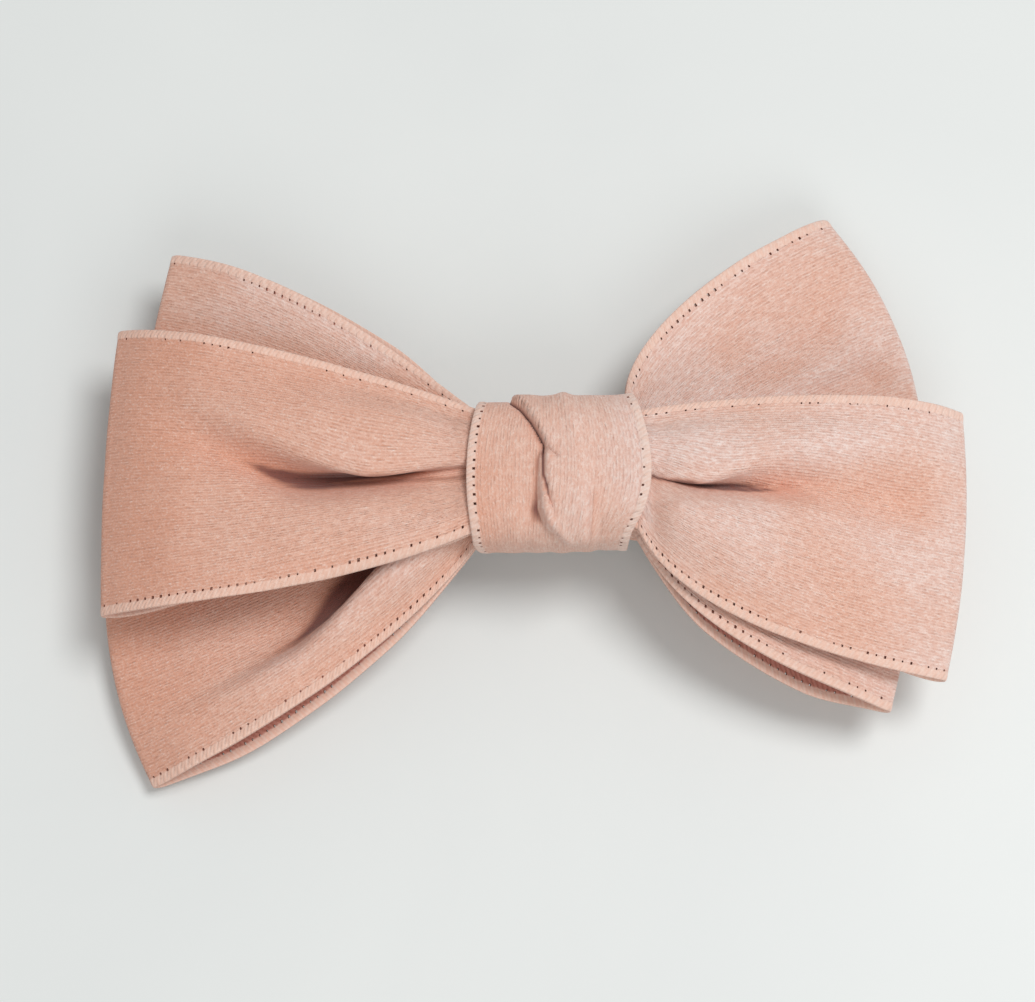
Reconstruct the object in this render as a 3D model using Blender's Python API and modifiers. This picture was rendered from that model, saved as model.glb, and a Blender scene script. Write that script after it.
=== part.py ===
"""Ribbon-bow hair barrette: three fanned ribbon bows, a knotted centre wrap and a spring-clasp clip.

All dimensions below are millimetres; the script builds in metres, +Z up, standing on its clip.
The bow and the clip are centred on X = Y = 0 before the whole part is shifted to its frame.
"""

import math

import bmesh
import bpy
from mathutils import Vector

MM = 0.001

# Where the clip's centre lies in the part's frame, whose origin is the bottom centre of its box.
CLIP_CENTRE_X = 3.06
CLIP_CENTRE_Y = -1.03

GAP = 0.3                     # clearance kept between pieces that touch

# Clip: an arched base plate with a flat seat at each end
BASE_HALF_LENGTH = 40.0
BASE_WIDTH = 8.0
BASE_THICKNESS = 0.8
BASE_APEX_Z = 13.2            # middle of the plate's thickness at the crown
BASE_RADIUS = 72.6
SEAT_X = 31.0                 # the arch ends here and the flat seat begins
SEAT_BLEND = 2.5
SEWING_HOLE_RADIUS = 0.6
SEWING_HOLE_X = 29.2

PIN_X = -38.0
PIN_Z = 2.0
PIN_RADIUS = 0.7
PIN_HOLE_RADIUS = 0.82
EAR_RADIUS = 2.0
EAR_INNER_Y = 3.2
EAR_OUTER_Y = 4.0
PIN_HEAD_RADIUS = 1.2
RIVET_HEAD_THICKNESS = 0.45

ARM_START_X = -37.0
ARM_END_X = 40.4
ARM_THICKNESS = 0.7
ARM_RISE = 1.0                # how far the closed arm bows towards the base plate
ARM_HINGE_Z = 1.2
ARM_SLOPE = 0.0184            # the catch end sits higher than the hinge end
KNUCKLE_RADIUS = 1.5
KNUCKLE_WIDTH = 5.6

STRIP_THICKNESS = 0.5
STRIP_ROOT_X = -36.0
STRIP_BEND_X = -31.0
STRIP_END_X = 24.0
STRIP_WIDTH = 4.6
STRIP_CROWN_Z = 8.8
STRIP_TIP_DROP = 2.85
STRIP_RIVET_X = -33.4

CATCH_X = 36.0
BRACKET_LENGTH = 5.6
BRACKET_WIDTH = 5.4
BRACKET_THICKNESS = 0.7
WINDOW_LENGTH = 4.4
WINDOW_WIDTH = 4.6
TAB_LENGTH = 3.4
TAB_PIVOT_Y = 2.45
RIVET_RADIUS = 0.7
RIVET_HOLE_RADIUS = 0.9

PAD_HALF_LENGTH = 27.0
PAD_WIDTH = 9.0
PAD_THICKNESS = 0.6

# Ribbon: three bows stacked back to front, each a closed loop pinched in the middle
RIBBON_THICKNESS = 0.7
LAYER_PITCH = 1.22            # from one ribbon layer to the next under the wrap
FIRST_LAYER_Z = 15.8          # the back bow's back layer, at the centre
PLEAT_HEIGHT = 1.0            # the two pleats pressed into the stack by the wrap
PINCH_HALF_WIDTH = 8.4        # half the pinched ribbon's width where it leaves the wrap
PINCH_AT_CENTRE = 0.86        # and at the thread, as a share of that
FOLD_RADIUS = 0.8             # of the crease at a loop's outer end
PLEAT_FADE = 0.1              # share of a loop over which the pressed pleats open out
OPENING_SKEW = 2.2            # moves a loop's widest opening towards its outer fold
RIDGE_PEAK = 0.24             # share of a loop at which the soft ridges stand highest
STATION_CROWDING = 1.4        # above 1 sets a loop's cross-lines closer together near the wrap

WRAP_LENGTH = 25.0            # along X in front, before the sides gather it
WRAP_SIDE_LENGTH = 18.6
WRAP_HALF_WIDTH = 9.7         # inner face
WRAP_MIDDLE_Z = 18.0
WRAP_TOP_Z = 24.75
WRAP_BOTTOM_Z = 11.6
KNOT_RISE = 1.9
KNOT_X = 3.0
KNOT_REACH = 9.5

THREAD_DIAMETER = 0.4
THREAD_TURNS = 3
THREAD_PITCH = 0.8
THREAD_HALF_WIDTH = 8.5
THREAD_MIDDLE_Z = 19.6
THREAD_TOP_Z = 24.25
THREAD_BOTTOM_Z = 14.85

ROUND_SIDES = 20


# ---------------------------------------------------------------- scene and materials

def clear_scene():
    for obj in list(bpy.data.objects):
        bpy.data.objects.remove(obj)


def new_collection(name):
    collection = bpy.data.collections.new(name)
    bpy.context.scene.collection.children.link(collection)
    return collection


def new_material(name, look):
    colour, roughness, metallic = look
    material = bpy.data.materials.new(name)
    material.use_nodes = True
    shader = material.node_tree.nodes["Principled BSDF"]
    shader.inputs["Base Color"].default_value = (*colour, 1.0)
    shader.inputs["Roughness"].default_value = roughness
    shader.inputs["Metallic"].default_value = metallic
    return material


clear_scene()
PARTS = new_collection("ribbon_bow_barrette")
CUTTERS = new_collection("cutters")

# Looks: colour, roughness, metallic
RIBBON = ((0.72, 0.45, 0.36), 0.9, 0.0)
THREAD = ((0.66, 0.40, 0.33), 0.7, 0.0)
FELT = ((0.62, 0.38, 0.32), 0.95, 0.0)
STEEL = ((0.62, 0.61, 0.59), 0.28, 1.0)

FRAME = bpy.data.objects.new("barrette_frame", None)
FRAME.location = (CLIP_CENTRE_X * MM, CLIP_CENTRE_Y * MM, 0)
PARTS.objects.link(FRAME)


# ---------------------------------------------------------------- shared shape helpers

def add_object(name, data, look=None, collection=PARTS):
    obj = bpy.data.objects.new(name, data)
    collection.objects.link(obj)
    obj.parent = FRAME
    if look:
        data.materials.append(new_material(name, look))
    if collection is CUTTERS:
        obj.hide_render = True
        obj.display_type = "WIRE"
    return obj


def millimetres(x, y, z):
    return Vector((x, y, z)) * MM


def smooth_step(value, low=0.0, high=1.0):
    share = min(max((value - low) / (high - low), 0.0), 1.0)
    return share * share * (3 - 2 * share)


def mix(a, b, share):
    return a + (b - a) * share


def bent_sheet(name, columns, rows, place, thickness, look, closed=False):
    """A grid laid out by place(u, v), welded at its seam if closed, and thickened both ways."""
    bm = bmesh.new()
    bmesh.ops.create_grid(bm, x_segments=columns, y_segments=rows, size=1.0)
    for vertex in bm.verts:
        vertex.co = place((vertex.co.x + 1) / 2, (vertex.co.y + 1) / 2) * MM
    if closed:
        bmesh.ops.remove_doubles(bm, verts=bm.verts, dist=1e-6)
    mesh = bpy.data.meshes.new(name)
    bm.to_mesh(mesh)
    bm.free()
    mesh.shade_smooth()
    obj = add_object(name, mesh, look)
    solidify = obj.modifiers.new("thickness", "SOLIDIFY")
    solidify.thickness = thickness * MM
    solidify.offset = 0
    solidify.use_even_offset = True
    return obj


def cylinder(name, radius, length, centre, axis="Z", sides=ROUND_SIDES):
    bm = bmesh.new()
    bmesh.ops.create_cone(
        bm, cap_ends=True, segments=sides, radius1=radius * MM, radius2=radius * MM, depth=length * MM
    )
    mesh = bpy.data.meshes.new(name)
    bm.to_mesh(mesh)
    bm.free()
    obj = add_object(name, mesh, None, CUTTERS)
    obj.location = millimetres(*centre)
    if axis == "Y":
        obj.rotation_euler = (math.pi / 2, 0, 0)
    return obj


def block(name, size, centre, collection=CUTTERS, look=None):
    bm = bmesh.new()
    bmesh.ops.create_cube(bm, size=1.0)
    for vertex in bm.verts:
        vertex.co = Vector(a * b for a, b in zip(vertex.co, size)) * MM
    mesh = bpy.data.meshes.new(name)
    bm.to_mesh(mesh)
    bm.free()
    obj = add_object(name, mesh, look, collection)
    obj.location = millimetres(*centre)
    return obj


def combine(obj, other, operation):
    modifier = obj.modifiers.new(operation.lower() + "_" + other.name, "BOOLEAN")
    modifier.operation = operation
    modifier.object = other


def turned(name, profile, centre, axis, look):
    """A solid of revolution about its own Z; the profile runs top to bottom, radius first."""
    bm = bmesh.new()
    vertices = [bm.verts.new(millimetres(radius, 0, height)) for radius, height in profile]
    for first, second in zip(vertices, vertices[1:]):
        bm.edges.new((first, second))
    mesh = bpy.data.meshes.new(name)
    bm.to_mesh(mesh)
    bm.free()
    obj = add_object(name, mesh, look)
    screw = obj.modifiers.new("turn", "SCREW")
    screw.steps = ROUND_SIDES
    screw.render_steps = ROUND_SIDES
    screw.use_merge_vertices = True
    screw.merge_threshold = 1e-5
    obj.location = millimetres(*centre)
    if axis == "Y":
        obj.rotation_euler = (math.pi / 2, 0, 0)
    return obj


def rivet(name, centre, grip, axis="Z", radius=RIVET_RADIUS, head_radius=PIN_HEAD_RADIUS):
    """A headed pin; grip is the length of shank between its two domed heads."""
    half = grip / 2
    head = RIVET_HEAD_THICKNESS
    profile = [
        (0, half + head),
        (0.6 * head_radius, half + 0.85 * head),
        (head_radius, half + 0.2 * head),
        (head_radius, half),
        (radius, half),
        (radius, -half),
        (head_radius, -half),
        (head_radius, -half - 0.2 * head),
        (0.6 * head_radius, -half - 0.85 * head),
        (0, -half - head),
    ]
    return turned(name, profile, centre, axis, STEEL)


def superellipse(angle, half_width, upper, lower, power_up, power_down):
    """A point of a closed rounded outline, as (y, z) about its middle; upper and lower differ."""
    up = math.sin(angle) >= 0
    power = 2 / (power_up if up else power_down)
    y = half_width * math.copysign(abs(math.cos(angle)) ** power, math.cos(angle))
    z = (upper if up else lower) * math.copysign(abs(math.sin(angle)) ** power, math.sin(angle))
    return y, z


# ---------------------------------------------------------------- the spring-clasp clip

def arch_drop(x, radius):
    return radius - math.sqrt(radius * radius - x * x)


def base_z(x):
    """Height of the base plate's middle: an arc that settles into a flat seat at each end."""
    reach = abs(x)
    past = reach - SEAT_X
    if past > -SEAT_BLEND:
        eased = min(past, SEAT_BLEND)
        reach = SEAT_X - (SEAT_BLEND - eased) ** 2 / (4 * SEAT_BLEND)
    return BASE_APEX_Z - arch_drop(reach, BASE_RADIUS)


def base_width(x):
    return BASE_WIDTH * (1 - 0.22 * smooth_step(abs(x), BASE_HALF_LENGTH - 2.5, BASE_HALF_LENGTH))


def make_base_plate():
    def place(u, v):
        x = mix(-BASE_HALF_LENGTH, BASE_HALF_LENGTH, u)
        return Vector((x, base_width(x) * (v - 0.5), base_z(x)))

    plate = bent_sheet("base_plate", 32, 2, place, BASE_THICKNESS, STEEL)
    seat_z = base_z(BASE_HALF_LENGTH)
    ear_thickness = EAR_OUTER_Y - EAR_INNER_Y
    for side, label in ((-1, "near"), (1, "far")):
        y = side * (EAR_INNER_Y + EAR_OUTER_Y) / 2
        ear = cylinder("ear_" + label, EAR_RADIUS, ear_thickness, (PIN_X, y, PIN_Z), "Y")
        web_height = seat_z - PIN_Z
        web = block(
            "ear_web_" + label,
            (2 * EAR_RADIUS * 0.98, ear_thickness * 0.98, web_height),
            (PIN_X, y, PIN_Z + web_height / 2),
        )
        combine(plate, web, "UNION")
        combine(plate, ear, "UNION")
    pin_hole = cylinder("pin_hole", PIN_HOLE_RADIUS, 4 * EAR_OUTER_Y, (PIN_X, 0, PIN_Z), "Y")
    combine(plate, pin_hole, "DIFFERENCE")
    for label, x in (("strip", STRIP_RIVET_X), ("catch", CATCH_X)):
        hole = cylinder("rivet_hole_" + label, RIVET_HOLE_RADIUS, 6, (x, 0, seat_z))
        combine(plate, hole, "DIFFERENCE")
    for side, label in ((-1, "left"), (1, "right")):
        x = side * SEWING_HOLE_X
        hole = cylinder("sewing_hole_" + label, SEWING_HOLE_RADIUS, 6, (x, 0, base_z(x)), sides=12)
        combine(plate, hole, "DIFFERENCE")
    return plate


def make_hinge_pin():
    grip = 2 * (EAR_OUTER_Y + GAP)
    return rivet("hinge_pin", (PIN_X, 0, PIN_Z), grip, "Y", PIN_RADIUS)


def arm_z(x):
    return ARM_HINGE_Z + (x - PIN_X) * ARM_SLOPE + ARM_RISE * (1 - (x / PIN_X) ** 2)


def arm_width(x):
    """Narrow along its length, as wide as the knuckle at the hinge, wider round the catch window."""
    flare = smooth_step(x, CATCH_X - 9, CATCH_X - 3)
    tip = smooth_step(x, ARM_END_X - 2.6, ARM_END_X)
    root = 1 - smooth_step(x, ARM_START_X, ARM_START_X + 9)
    return 4.8 + 0.8 * root + 2.8 * flare - 3.4 * tip


def make_clasp_arm():
    """The moving bar; its object's origin is on the hinge axis."""

    def place(u, v):
        x = mix(ARM_START_X, ARM_END_X, u)
        return Vector((x - PIN_X, arm_width(x) * (v - 0.5), arm_z(x) - PIN_Z))

    arm = bent_sheet("clasp_arm", 30, 2, place, ARM_THICKNESS, STEEL)
    arm.location = millimetres(PIN_X, 0, PIN_Z)
    knuckle = cylinder("knuckle", KNUCKLE_RADIUS, KNUCKLE_WIDTH, (PIN_X, 0, PIN_Z), "Y")
    bore = cylinder("knuckle_bore", PIN_HOLE_RADIUS, 2 * KNUCKLE_WIDTH, (PIN_X, 0, PIN_Z), "Y")
    window = block("catch_window", (WINDOW_LENGTH, WINDOW_WIDTH, 4), (CATCH_X, 0, arm_z(CATCH_X)))
    combine(arm, knuckle, "UNION")
    combine(arm, bore, "DIFFERENCE")
    combine(arm, window, "DIFFERENCE")
    return arm


def strip_z(x):
    """A flat riveted root, then a bow towards the clasp arm."""
    root_z = base_z(BASE_HALF_LENGTH) - BASE_THICKNESS / 2 - GAP - STRIP_THICKNESS / 2
    if x < STRIP_BEND_X:
        return root_z
    if x < 0:
        return mix(root_z, STRIP_CROWN_Z, math.sin(math.pi / 2 * (x - STRIP_BEND_X) / -STRIP_BEND_X))
    return STRIP_CROWN_Z - STRIP_TIP_DROP * (x / STRIP_END_X) ** 2


def strip_width(x):
    tip = smooth_step(x, STRIP_END_X - 2.2, STRIP_END_X)
    return STRIP_WIDTH * (1 - 0.5 * tip)


def make_tension_strip():
    """The leaf spring; its object's origin is on the bend that it flexes about."""

    def place(u, v):
        x = mix(STRIP_ROOT_X, STRIP_END_X, u)
        return Vector((x - STRIP_BEND_X, strip_width(x) * (v - 0.5), strip_z(x) - strip_z(STRIP_BEND_X)))

    strip = bent_sheet("tension_strip", 24, 1, place, STRIP_THICKNESS, STEEL)
    strip.location = millimetres(STRIP_BEND_X, 0, strip_z(STRIP_BEND_X))
    hole = cylinder(
        "strip_rivet_hole", RIVET_HOLE_RADIUS, 3, (STRIP_RIVET_X, 0, strip_z(STRIP_RIVET_X)), sides=16
    )
    combine(strip, hole, "DIFFERENCE")
    return strip


def make_strip_rivet():
    top = base_z(BASE_HALF_LENGTH) + BASE_THICKNESS / 2 + GAP
    bottom = strip_z(STRIP_RIVET_X) - STRIP_THICKNESS / 2 - GAP
    return rivet("strip_rivet", (STRIP_RIVET_X, 0, (top + bottom) / 2), top - bottom)


def bracket_z():
    return base_z(BASE_HALF_LENGTH) - BASE_THICKNESS / 2 - GAP - BRACKET_THICKNESS / 2


def make_catch_bracket():
    size = (BRACKET_LENGTH, BRACKET_WIDTH, BRACKET_THICKNESS)
    bracket = block("catch_bracket", size, (CATCH_X, 0, bracket_z()), PARTS, STEEL)
    hole = cylinder("bracket_rivet_hole", RIVET_HOLE_RADIUS, 3, (CATCH_X, 0, bracket_z()), sides=16)
    combine(bracket, hole, "DIFFERENCE")
    return bracket


def make_catch_rivet():
    top = base_z(BASE_HALF_LENGTH) + BASE_THICKNESS / 2 + GAP
    bottom = bracket_z() - BRACKET_THICKNESS / 2 - GAP
    return rivet("catch_rivet", (CATCH_X, 0, (top + bottom) / 2), top - bottom)


def tab_outline():
    """Leg, hook and finger flare of one catch tab, as (outward, up) from the middle of the clip."""
    return [
        (2.0, 4.5),
        (2.6, 4.5),
        (2.05, 3.4),
        (2.05, 2.1),
        (2.8, 1.95),
        (2.8, 1.55),
        (5.0, 0.6),
        (5.0, 0.0),
        (4.6, 0.0),
        (1.9, 1.1),
        (1.45, 1.5),
        (1.45, 3.3),
    ]


def make_catch_tab(name, side):
    """One squeeze tab; its object's origin is on the bend that it flexes about."""
    pivot_z = bracket_z() - BRACKET_THICKNESS / 2
    bm = bmesh.new()
    outline = [
        bm.verts.new(millimetres(-TAB_LENGTH / 2, side * (outward - TAB_PIVOT_Y), up - pivot_z))
        for outward, up in tab_outline()
    ]
    face = bm.faces.new(outline)
    sweep = bmesh.ops.extrude_face_region(bm, geom=[face])
    moved = [item for item in sweep["geom"] if isinstance(item, bmesh.types.BMVert)]
    bmesh.ops.translate(bm, verts=moved, vec=millimetres(TAB_LENGTH, 0, 0))
    bmesh.ops.recalc_face_normals(bm, faces=bm.faces)
    mesh = bpy.data.meshes.new(name)
    bm.to_mesh(mesh)
    bm.free()
    tab = add_object(name, mesh, STEEL)
    tab.location = millimetres(CATCH_X, side * TAB_PIVOT_Y, pivot_z)
    return tab


def make_felt_pad():
    lift = BASE_THICKNESS / 2 + GAP + PAD_THICKNESS / 2

    def place(u, v):
        x = mix(-PAD_HALF_LENGTH, PAD_HALF_LENGTH, u)
        end = smooth_step(abs(x), PAD_HALF_LENGTH - 3, PAD_HALF_LENGTH)
        return Vector((x, PAD_WIDTH * (1 - 0.35 * end) * (v - 0.5), base_z(x) + lift))

    return bent_sheet("felt_pad", 20, 1, place, PAD_THICKNESS, FELT)


# ---------------------------------------------------------------- the ribbon bows

class Lobe:
    """One loop of a bow, from the wrap to its outer fold.

    Each edge is a cubic from where it leaves the wrap to a corner of the outer fold. v runs from
    the lower edge (0) to the upper edge (1), and s from the wrap (0) to the fold (1).
    """

    def __init__(self, lower, upper, fold_z, fall, bulge, puff, back_puff, ridges, valley):
        self.lower = lower            # four (x, y) points of the lower edge
        self.upper = upper            # four (x, y) points of the upper edge
        self.fold_z = fold_z          # height of the fold at the lower and upper corner
        self.fall = fall              # below 1 the loop comes down early, above 1 late
        self.bulge = bulge            # how far the fold bows outward between its corners
        self.puff = puff              # how far the front layer lifts, at the lower and upper edge
        self.back_puff = back_puff    # how far the back layer drops, likewise
        self.ridges = ridges          # height of the pleat below and above the valley
        self.valley = valley          # where the valley between them lies across the ribbon


def cubic(points, t):
    a, b, c, d = (Vector(p) for p in points)
    r = 1 - t
    return a * r ** 3 + b * (3 * r * r * t) + c * (3 * r * t * t) + d * t ** 3


def pressed_pleats(v):
    """The two pleats that the wrap presses into every layer alike, with a valley between them."""
    return PLEAT_HEIGHT * abs(math.sin(2 * math.pi * v))


def outline_point(lobe, s, v):
    point = cubic(lobe.lower, s).lerp(cubic(lobe.upper, s), v)
    outward = Vector(lobe.upper[3]) - Vector(lobe.lower[3])
    side = math.copysign(1, lobe.upper[3][0])
    outward = Vector((outward.y, -outward.x)).normalized() * side
    return point + outward * (lobe.bulge * 4 * v * (1 - v) * s * s)


def opening(s):
    """How open a loop is along its length: shut at the wrap and at the fold."""
    t = s ** OPENING_SKEW
    return 4 * t * (1 - t)


def spread(ends, v):
    """Between the values at the lower and upper edge, easing away from the smaller one."""
    lower, upper = ends
    if upper > lower:
        return mix(lower, upper, v ** 2.2)
    return mix(upper, lower, (1 - v) ** 2.2)


def soft_ridges(lobe, s, v):
    below, above = lobe.ridges
    if v < lobe.valley:
        height = below * math.sin(math.pi * v / lobe.valley)
    else:
        height = above * math.sin(math.pi * (1 - v) / (1 - lobe.valley))
    share = s / RIDGE_PEAK
    return height * (share * math.exp(1 - share)) ** 1.6 * (1 - s * s)


def lobe_point(lobe, layer_z, stack_z, front, s, v):
    """A point of the front or back layer of a loop."""
    flat = outline_point(lobe, s, v)
    middle = mix(stack_z, mix(lobe.fold_z[0], lobe.fold_z[1], v), s ** lobe.fall)
    half = mix(LAYER_PITCH / 2, FOLD_RADIUS, s)
    if front:
        z = middle + half + spread(lobe.puff, v) * opening(s) + soft_ridges(lobe, s, v)
    else:
        z = middle - half - spread(lobe.back_puff, v) * opening(s)
    z += pressed_pleats(v) * (1 - smooth_step(s, 0, PLEAT_FADE))
    return Vector((flat.x, flat.y, z))


def fold_point(lobe, angle, v):
    """A point of the outer crease; angle runs from the front layer (90) to the back (-90)."""
    flat = outline_point(lobe, 1, v)
    side = math.copysign(1, lobe.upper[3][0])
    z = mix(lobe.fold_z[0], lobe.fold_z[1], v) + FOLD_RADIUS * math.sin(angle)
    return Vector((flat.x + side * FOLD_RADIUS * math.cos(angle), flat.y, z))


def pinched_point(left, right, layer_z, share, v):
    """A point of the pinched middle of a layer, under the wrap; share runs from left to right."""
    flat = outline_point(left, 0, v).lerp(outline_point(right, 0, v), share)
    z = layer_z + pressed_pleats(v)
    waist = 1 - (1 - PINCH_AT_CENTRE) * 4 * share * (1 - share)
    return Vector((flat.x, flat.y * waist, z))


def bow_stations(left, right, back_z, along=10, fold_steps=3, pinch_steps=5):
    """The loop as a list of functions of v, once round: each is one line across the ribbon."""
    front_z = back_z + LAYER_PITCH
    stack_z = (front_z + back_z) / 2

    def layer(lobe, front, s):
        layer_z = front_z if front else back_z
        return lambda v: lobe_point(lobe, layer_z, stack_z, front, s, v)

    def crease(lobe, angle):
        return lambda v: fold_point(lobe, angle, v)

    def pinched(layer_z, share):
        return lambda v: pinched_point(left, right, layer_z, share, v)

    outwards = [(i / along) ** STATION_CROWDING for i in range(along + 1)]
    turn = [math.pi / 2 - math.pi * i / (fold_steps + 1) for i in range(1, fold_steps + 1)]
    middle = [i / (pinch_steps + 1) for i in range(1, pinch_steps + 1)]
    stations = [layer(left, True, s) for s in outwards]
    stations += [crease(left, a) for a in turn]
    stations += [layer(left, False, s) for s in reversed(outwards)]
    stations += [pinched(back_z, share) for share in middle]
    stations += [layer(right, False, s) for s in outwards]
    stations += [crease(right, -a) for a in turn]
    stations += [layer(right, True, s) for s in reversed(outwards)]
    stations += [pinched(front_z, 1 - share) for share in middle]
    return stations


def make_bow(name, left, right, back_z, rows=8):
    stations = bow_stations(left, right, back_z)
    count = len(stations)

    def place(u, v):
        return stations[round(u * count) % count](v)

    return bent_sheet(name, count, rows, place, RIBBON_THICKNESS, RIBBON, closed=True)


BACK_LEFT = Lobe(
    lower=((-10.5, -8.4), (-20.0, -20.0), (-37.5, -34.0), (-55.8, -40.2)),
    upper=((-11.0, 8.4), (-27.0, 8.0), (-45.0, 3.5), (-62.0, -1.0)),
    fold_z=(3.0, 6.8), fall=0.82, bulge=3.0, puff=(4.0, 0.1), back_puff=(1.0, 0.2),
    ridges=(3.0, 0.0), valley=0.28,
)
BACK_RIGHT = Lobe(
    lower=((11.0, -8.4), (26.0, -7.0), (40.0, 0.0), (52.0, 4.0)),
    upper=((10.4, 8.4), (11.2, 17.0), (21.0, 33.5), (39.1, 42.2)),
    fold_z=(6.2, 7.0), fall=1.0, bulge=3.6, puff=(0.1, 4.0), back_puff=(0.2, 1.0),
    ridges=(0.0, 0.8), valley=0.72,
)
MIDDLE_LEFT = Lobe(
    lower=((-11.0, -8.4), (-23.0, -6.5), (-44.0, -7.0), (-59.5, -4.5)),
    upper=((-10.5, 8.4), (-21.0, 17.5), (-36.0, 28.5), (-54.8, 34.9)),
    fold_z=(11.0, 12.0), fall=1.1, bulge=1.0, puff=(0.1, 3.0), back_puff=(0.1, 0.8),
    ridges=(0.0, 0.0), valley=0.5,
)
MIDDLE_RIGHT = Lobe(
    lower=((10.5, -8.4), (17.0, -21.0), (31.0, -27.5), (45.3, -31.0)),
    upper=((11.0, 8.4), (26.0, 10.0), (40.0, 9.5), (51.5, 8.5)),
    fold_z=(9.5, 11.5), fall=1.15, bulge=1.0, puff=(2.2, 0.1), back_puff=(0.8, 0.1),
    ridges=(0.0, 0.0), valley=0.5,
)
FRONT_LEFT = Lobe(
    lower=((-10.8, -8.4), (-25.0, -14.5), (-44.0, -19.3), (-62.3, -18.8)),
    upper=((-10.8, 8.4), (-25.5, 14.8), (-44.0, 18.0), (-61.7, 22.1)),
    fold_z=(14.5, 15.5), fall=1.18, bulge=0.8, puff=(4.5, 4.5), back_puff=(0.1, 0.1),
    ridges=(2.4, 3.0), valley=0.5,
)
FRONT_RIGHT = Lobe(
    lower=((10.8, -8.4), (18.5, -20.5), (36.0, -25.5), (53.1, -27.1)),
    upper=((10.8, 8.4), (23.5, 11.3), (42.0, 11.0), (56.4, 10.5)),
    fold_z=(14.5, 15.5), fall=1.18, bulge=1.5, puff=(4.5, 4.5), back_puff=(0.1, 0.1),
    ridges=(2.4, 3.0), valley=0.5,
)


# ---------------------------------------------------------------- wrap and thread

def make_knot_wrap():
    """The short ribbon round the middle of the bows and the base plate, knotted in front."""

    def place(u, v):
        angle = 2 * math.pi * u
        y, z = superellipse(
            angle, WRAP_HALF_WIDTH, WRAP_TOP_Z - WRAP_MIDDLE_Z, WRAP_MIDDLE_Z - WRAP_BOTTOM_Z, 3.0, 2.6
        )
        grow = 1 + RIBBON_THICKNESS / 2 / WRAP_HALF_WIDTH
        x = mix(WRAP_SIDE_LENGTH, WRAP_LENGTH, max(0.0, math.sin(angle)) ** 1.5) * (v - 0.5)
        near = max(0.0, 1 - ((x - KNOT_X) / KNOT_REACH) ** 2) * max(0.0, math.sin(angle)) ** 1.5
        outer_z = z + math.copysign(RIBBON_THICKNESS / 2, z)
        return Vector((x, y * grow, WRAP_MIDDLE_Z + outer_z + KNOT_RISE * near))

    return bent_sheet("knot_wrap", 44, 8, place, RIBBON_THICKNESS, RIBBON, closed=True)


def make_cinch_thread(points_per_turn=28):
    """Thread wound tight round the pinched bows, inside the wrap."""
    curve = bpy.data.curves.new("cinch_thread", "CURVE")
    curve.dimensions = "3D"
    curve.bevel_depth = THREAD_DIAMETER / 2 * MM
    curve.bevel_resolution = 1
    curve.use_fill_caps = True
    count = THREAD_TURNS * points_per_turn
    spline = curve.splines.new("POLY")
    spline.points.add(count)
    upper = THREAD_TOP_Z - THREAD_MIDDLE_Z
    lower = THREAD_MIDDLE_Z - THREAD_BOTTOM_Z
    for i, point in enumerate(spline.points):
        turns = i / points_per_turn
        y, z = superellipse(2 * math.pi * turns, THREAD_HALF_WIDTH, upper, lower, 3.0, 9.0)
        x = (turns - THREAD_TURNS / 2) * THREAD_PITCH
        point.co = (*millimetres(x, y, THREAD_MIDDLE_Z + z), 1)
    thread = add_object("cinch_thread", curve, THREAD)
    weld = thread.modifiers.new("weld_caps", "WELD")
    weld.merge_threshold = 1e-6
    return thread


# ---------------------------------------------------------------- the whole barrette

def build():
    make_base_plate()
    make_hinge_pin()
    make_clasp_arm()
    make_tension_strip()
    make_strip_rivet()
    make_catch_bracket()
    make_catch_rivet()
    make_catch_tab("catch_tab_near", -1)
    make_catch_tab("catch_tab_far", 1)
    make_felt_pad()
    make_bow("back_bow", BACK_LEFT, BACK_RIGHT, FIRST_LAYER_Z)
    make_bow("middle_bow", MIDDLE_LEFT, MIDDLE_RIGHT, FIRST_LAYER_Z + 2 * LAYER_PITCH)
    make_bow("front_bow", FRONT_LEFT, FRONT_RIGHT, FIRST_LAYER_Z + 4 * LAYER_PITCH)
    make_knot_wrap()
    make_cinch_thread()


build()
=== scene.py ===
"""Looks for the ribbon-bow barrette: fine ribbon, hems, knot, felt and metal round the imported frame.

Lengths are millimetres measured from the middle of the clip, and are turned into metres in the
frame's own axes by to_frame().
"""

import math

import bpy
import numpy as np
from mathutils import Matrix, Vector


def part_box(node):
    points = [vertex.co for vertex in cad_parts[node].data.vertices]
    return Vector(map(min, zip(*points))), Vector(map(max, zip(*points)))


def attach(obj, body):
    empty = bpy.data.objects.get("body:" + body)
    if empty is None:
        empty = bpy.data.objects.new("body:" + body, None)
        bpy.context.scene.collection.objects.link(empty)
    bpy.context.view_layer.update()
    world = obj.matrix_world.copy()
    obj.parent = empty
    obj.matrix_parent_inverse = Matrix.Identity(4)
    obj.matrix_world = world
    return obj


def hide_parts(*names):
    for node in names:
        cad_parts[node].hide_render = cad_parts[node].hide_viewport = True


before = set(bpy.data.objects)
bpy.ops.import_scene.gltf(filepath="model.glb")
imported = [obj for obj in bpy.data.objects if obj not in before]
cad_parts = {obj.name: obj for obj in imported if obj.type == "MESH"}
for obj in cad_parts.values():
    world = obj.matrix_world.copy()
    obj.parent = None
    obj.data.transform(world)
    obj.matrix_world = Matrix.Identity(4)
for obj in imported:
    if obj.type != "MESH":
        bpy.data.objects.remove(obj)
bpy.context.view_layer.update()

MM = 0.001
plate_low, plate_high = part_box("base_plate")
CLIP_X = (plate_low.x + plate_high.x) / 2 / MM
CLIP_Y = (plate_low.y + plate_high.y) / 2 / MM

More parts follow.
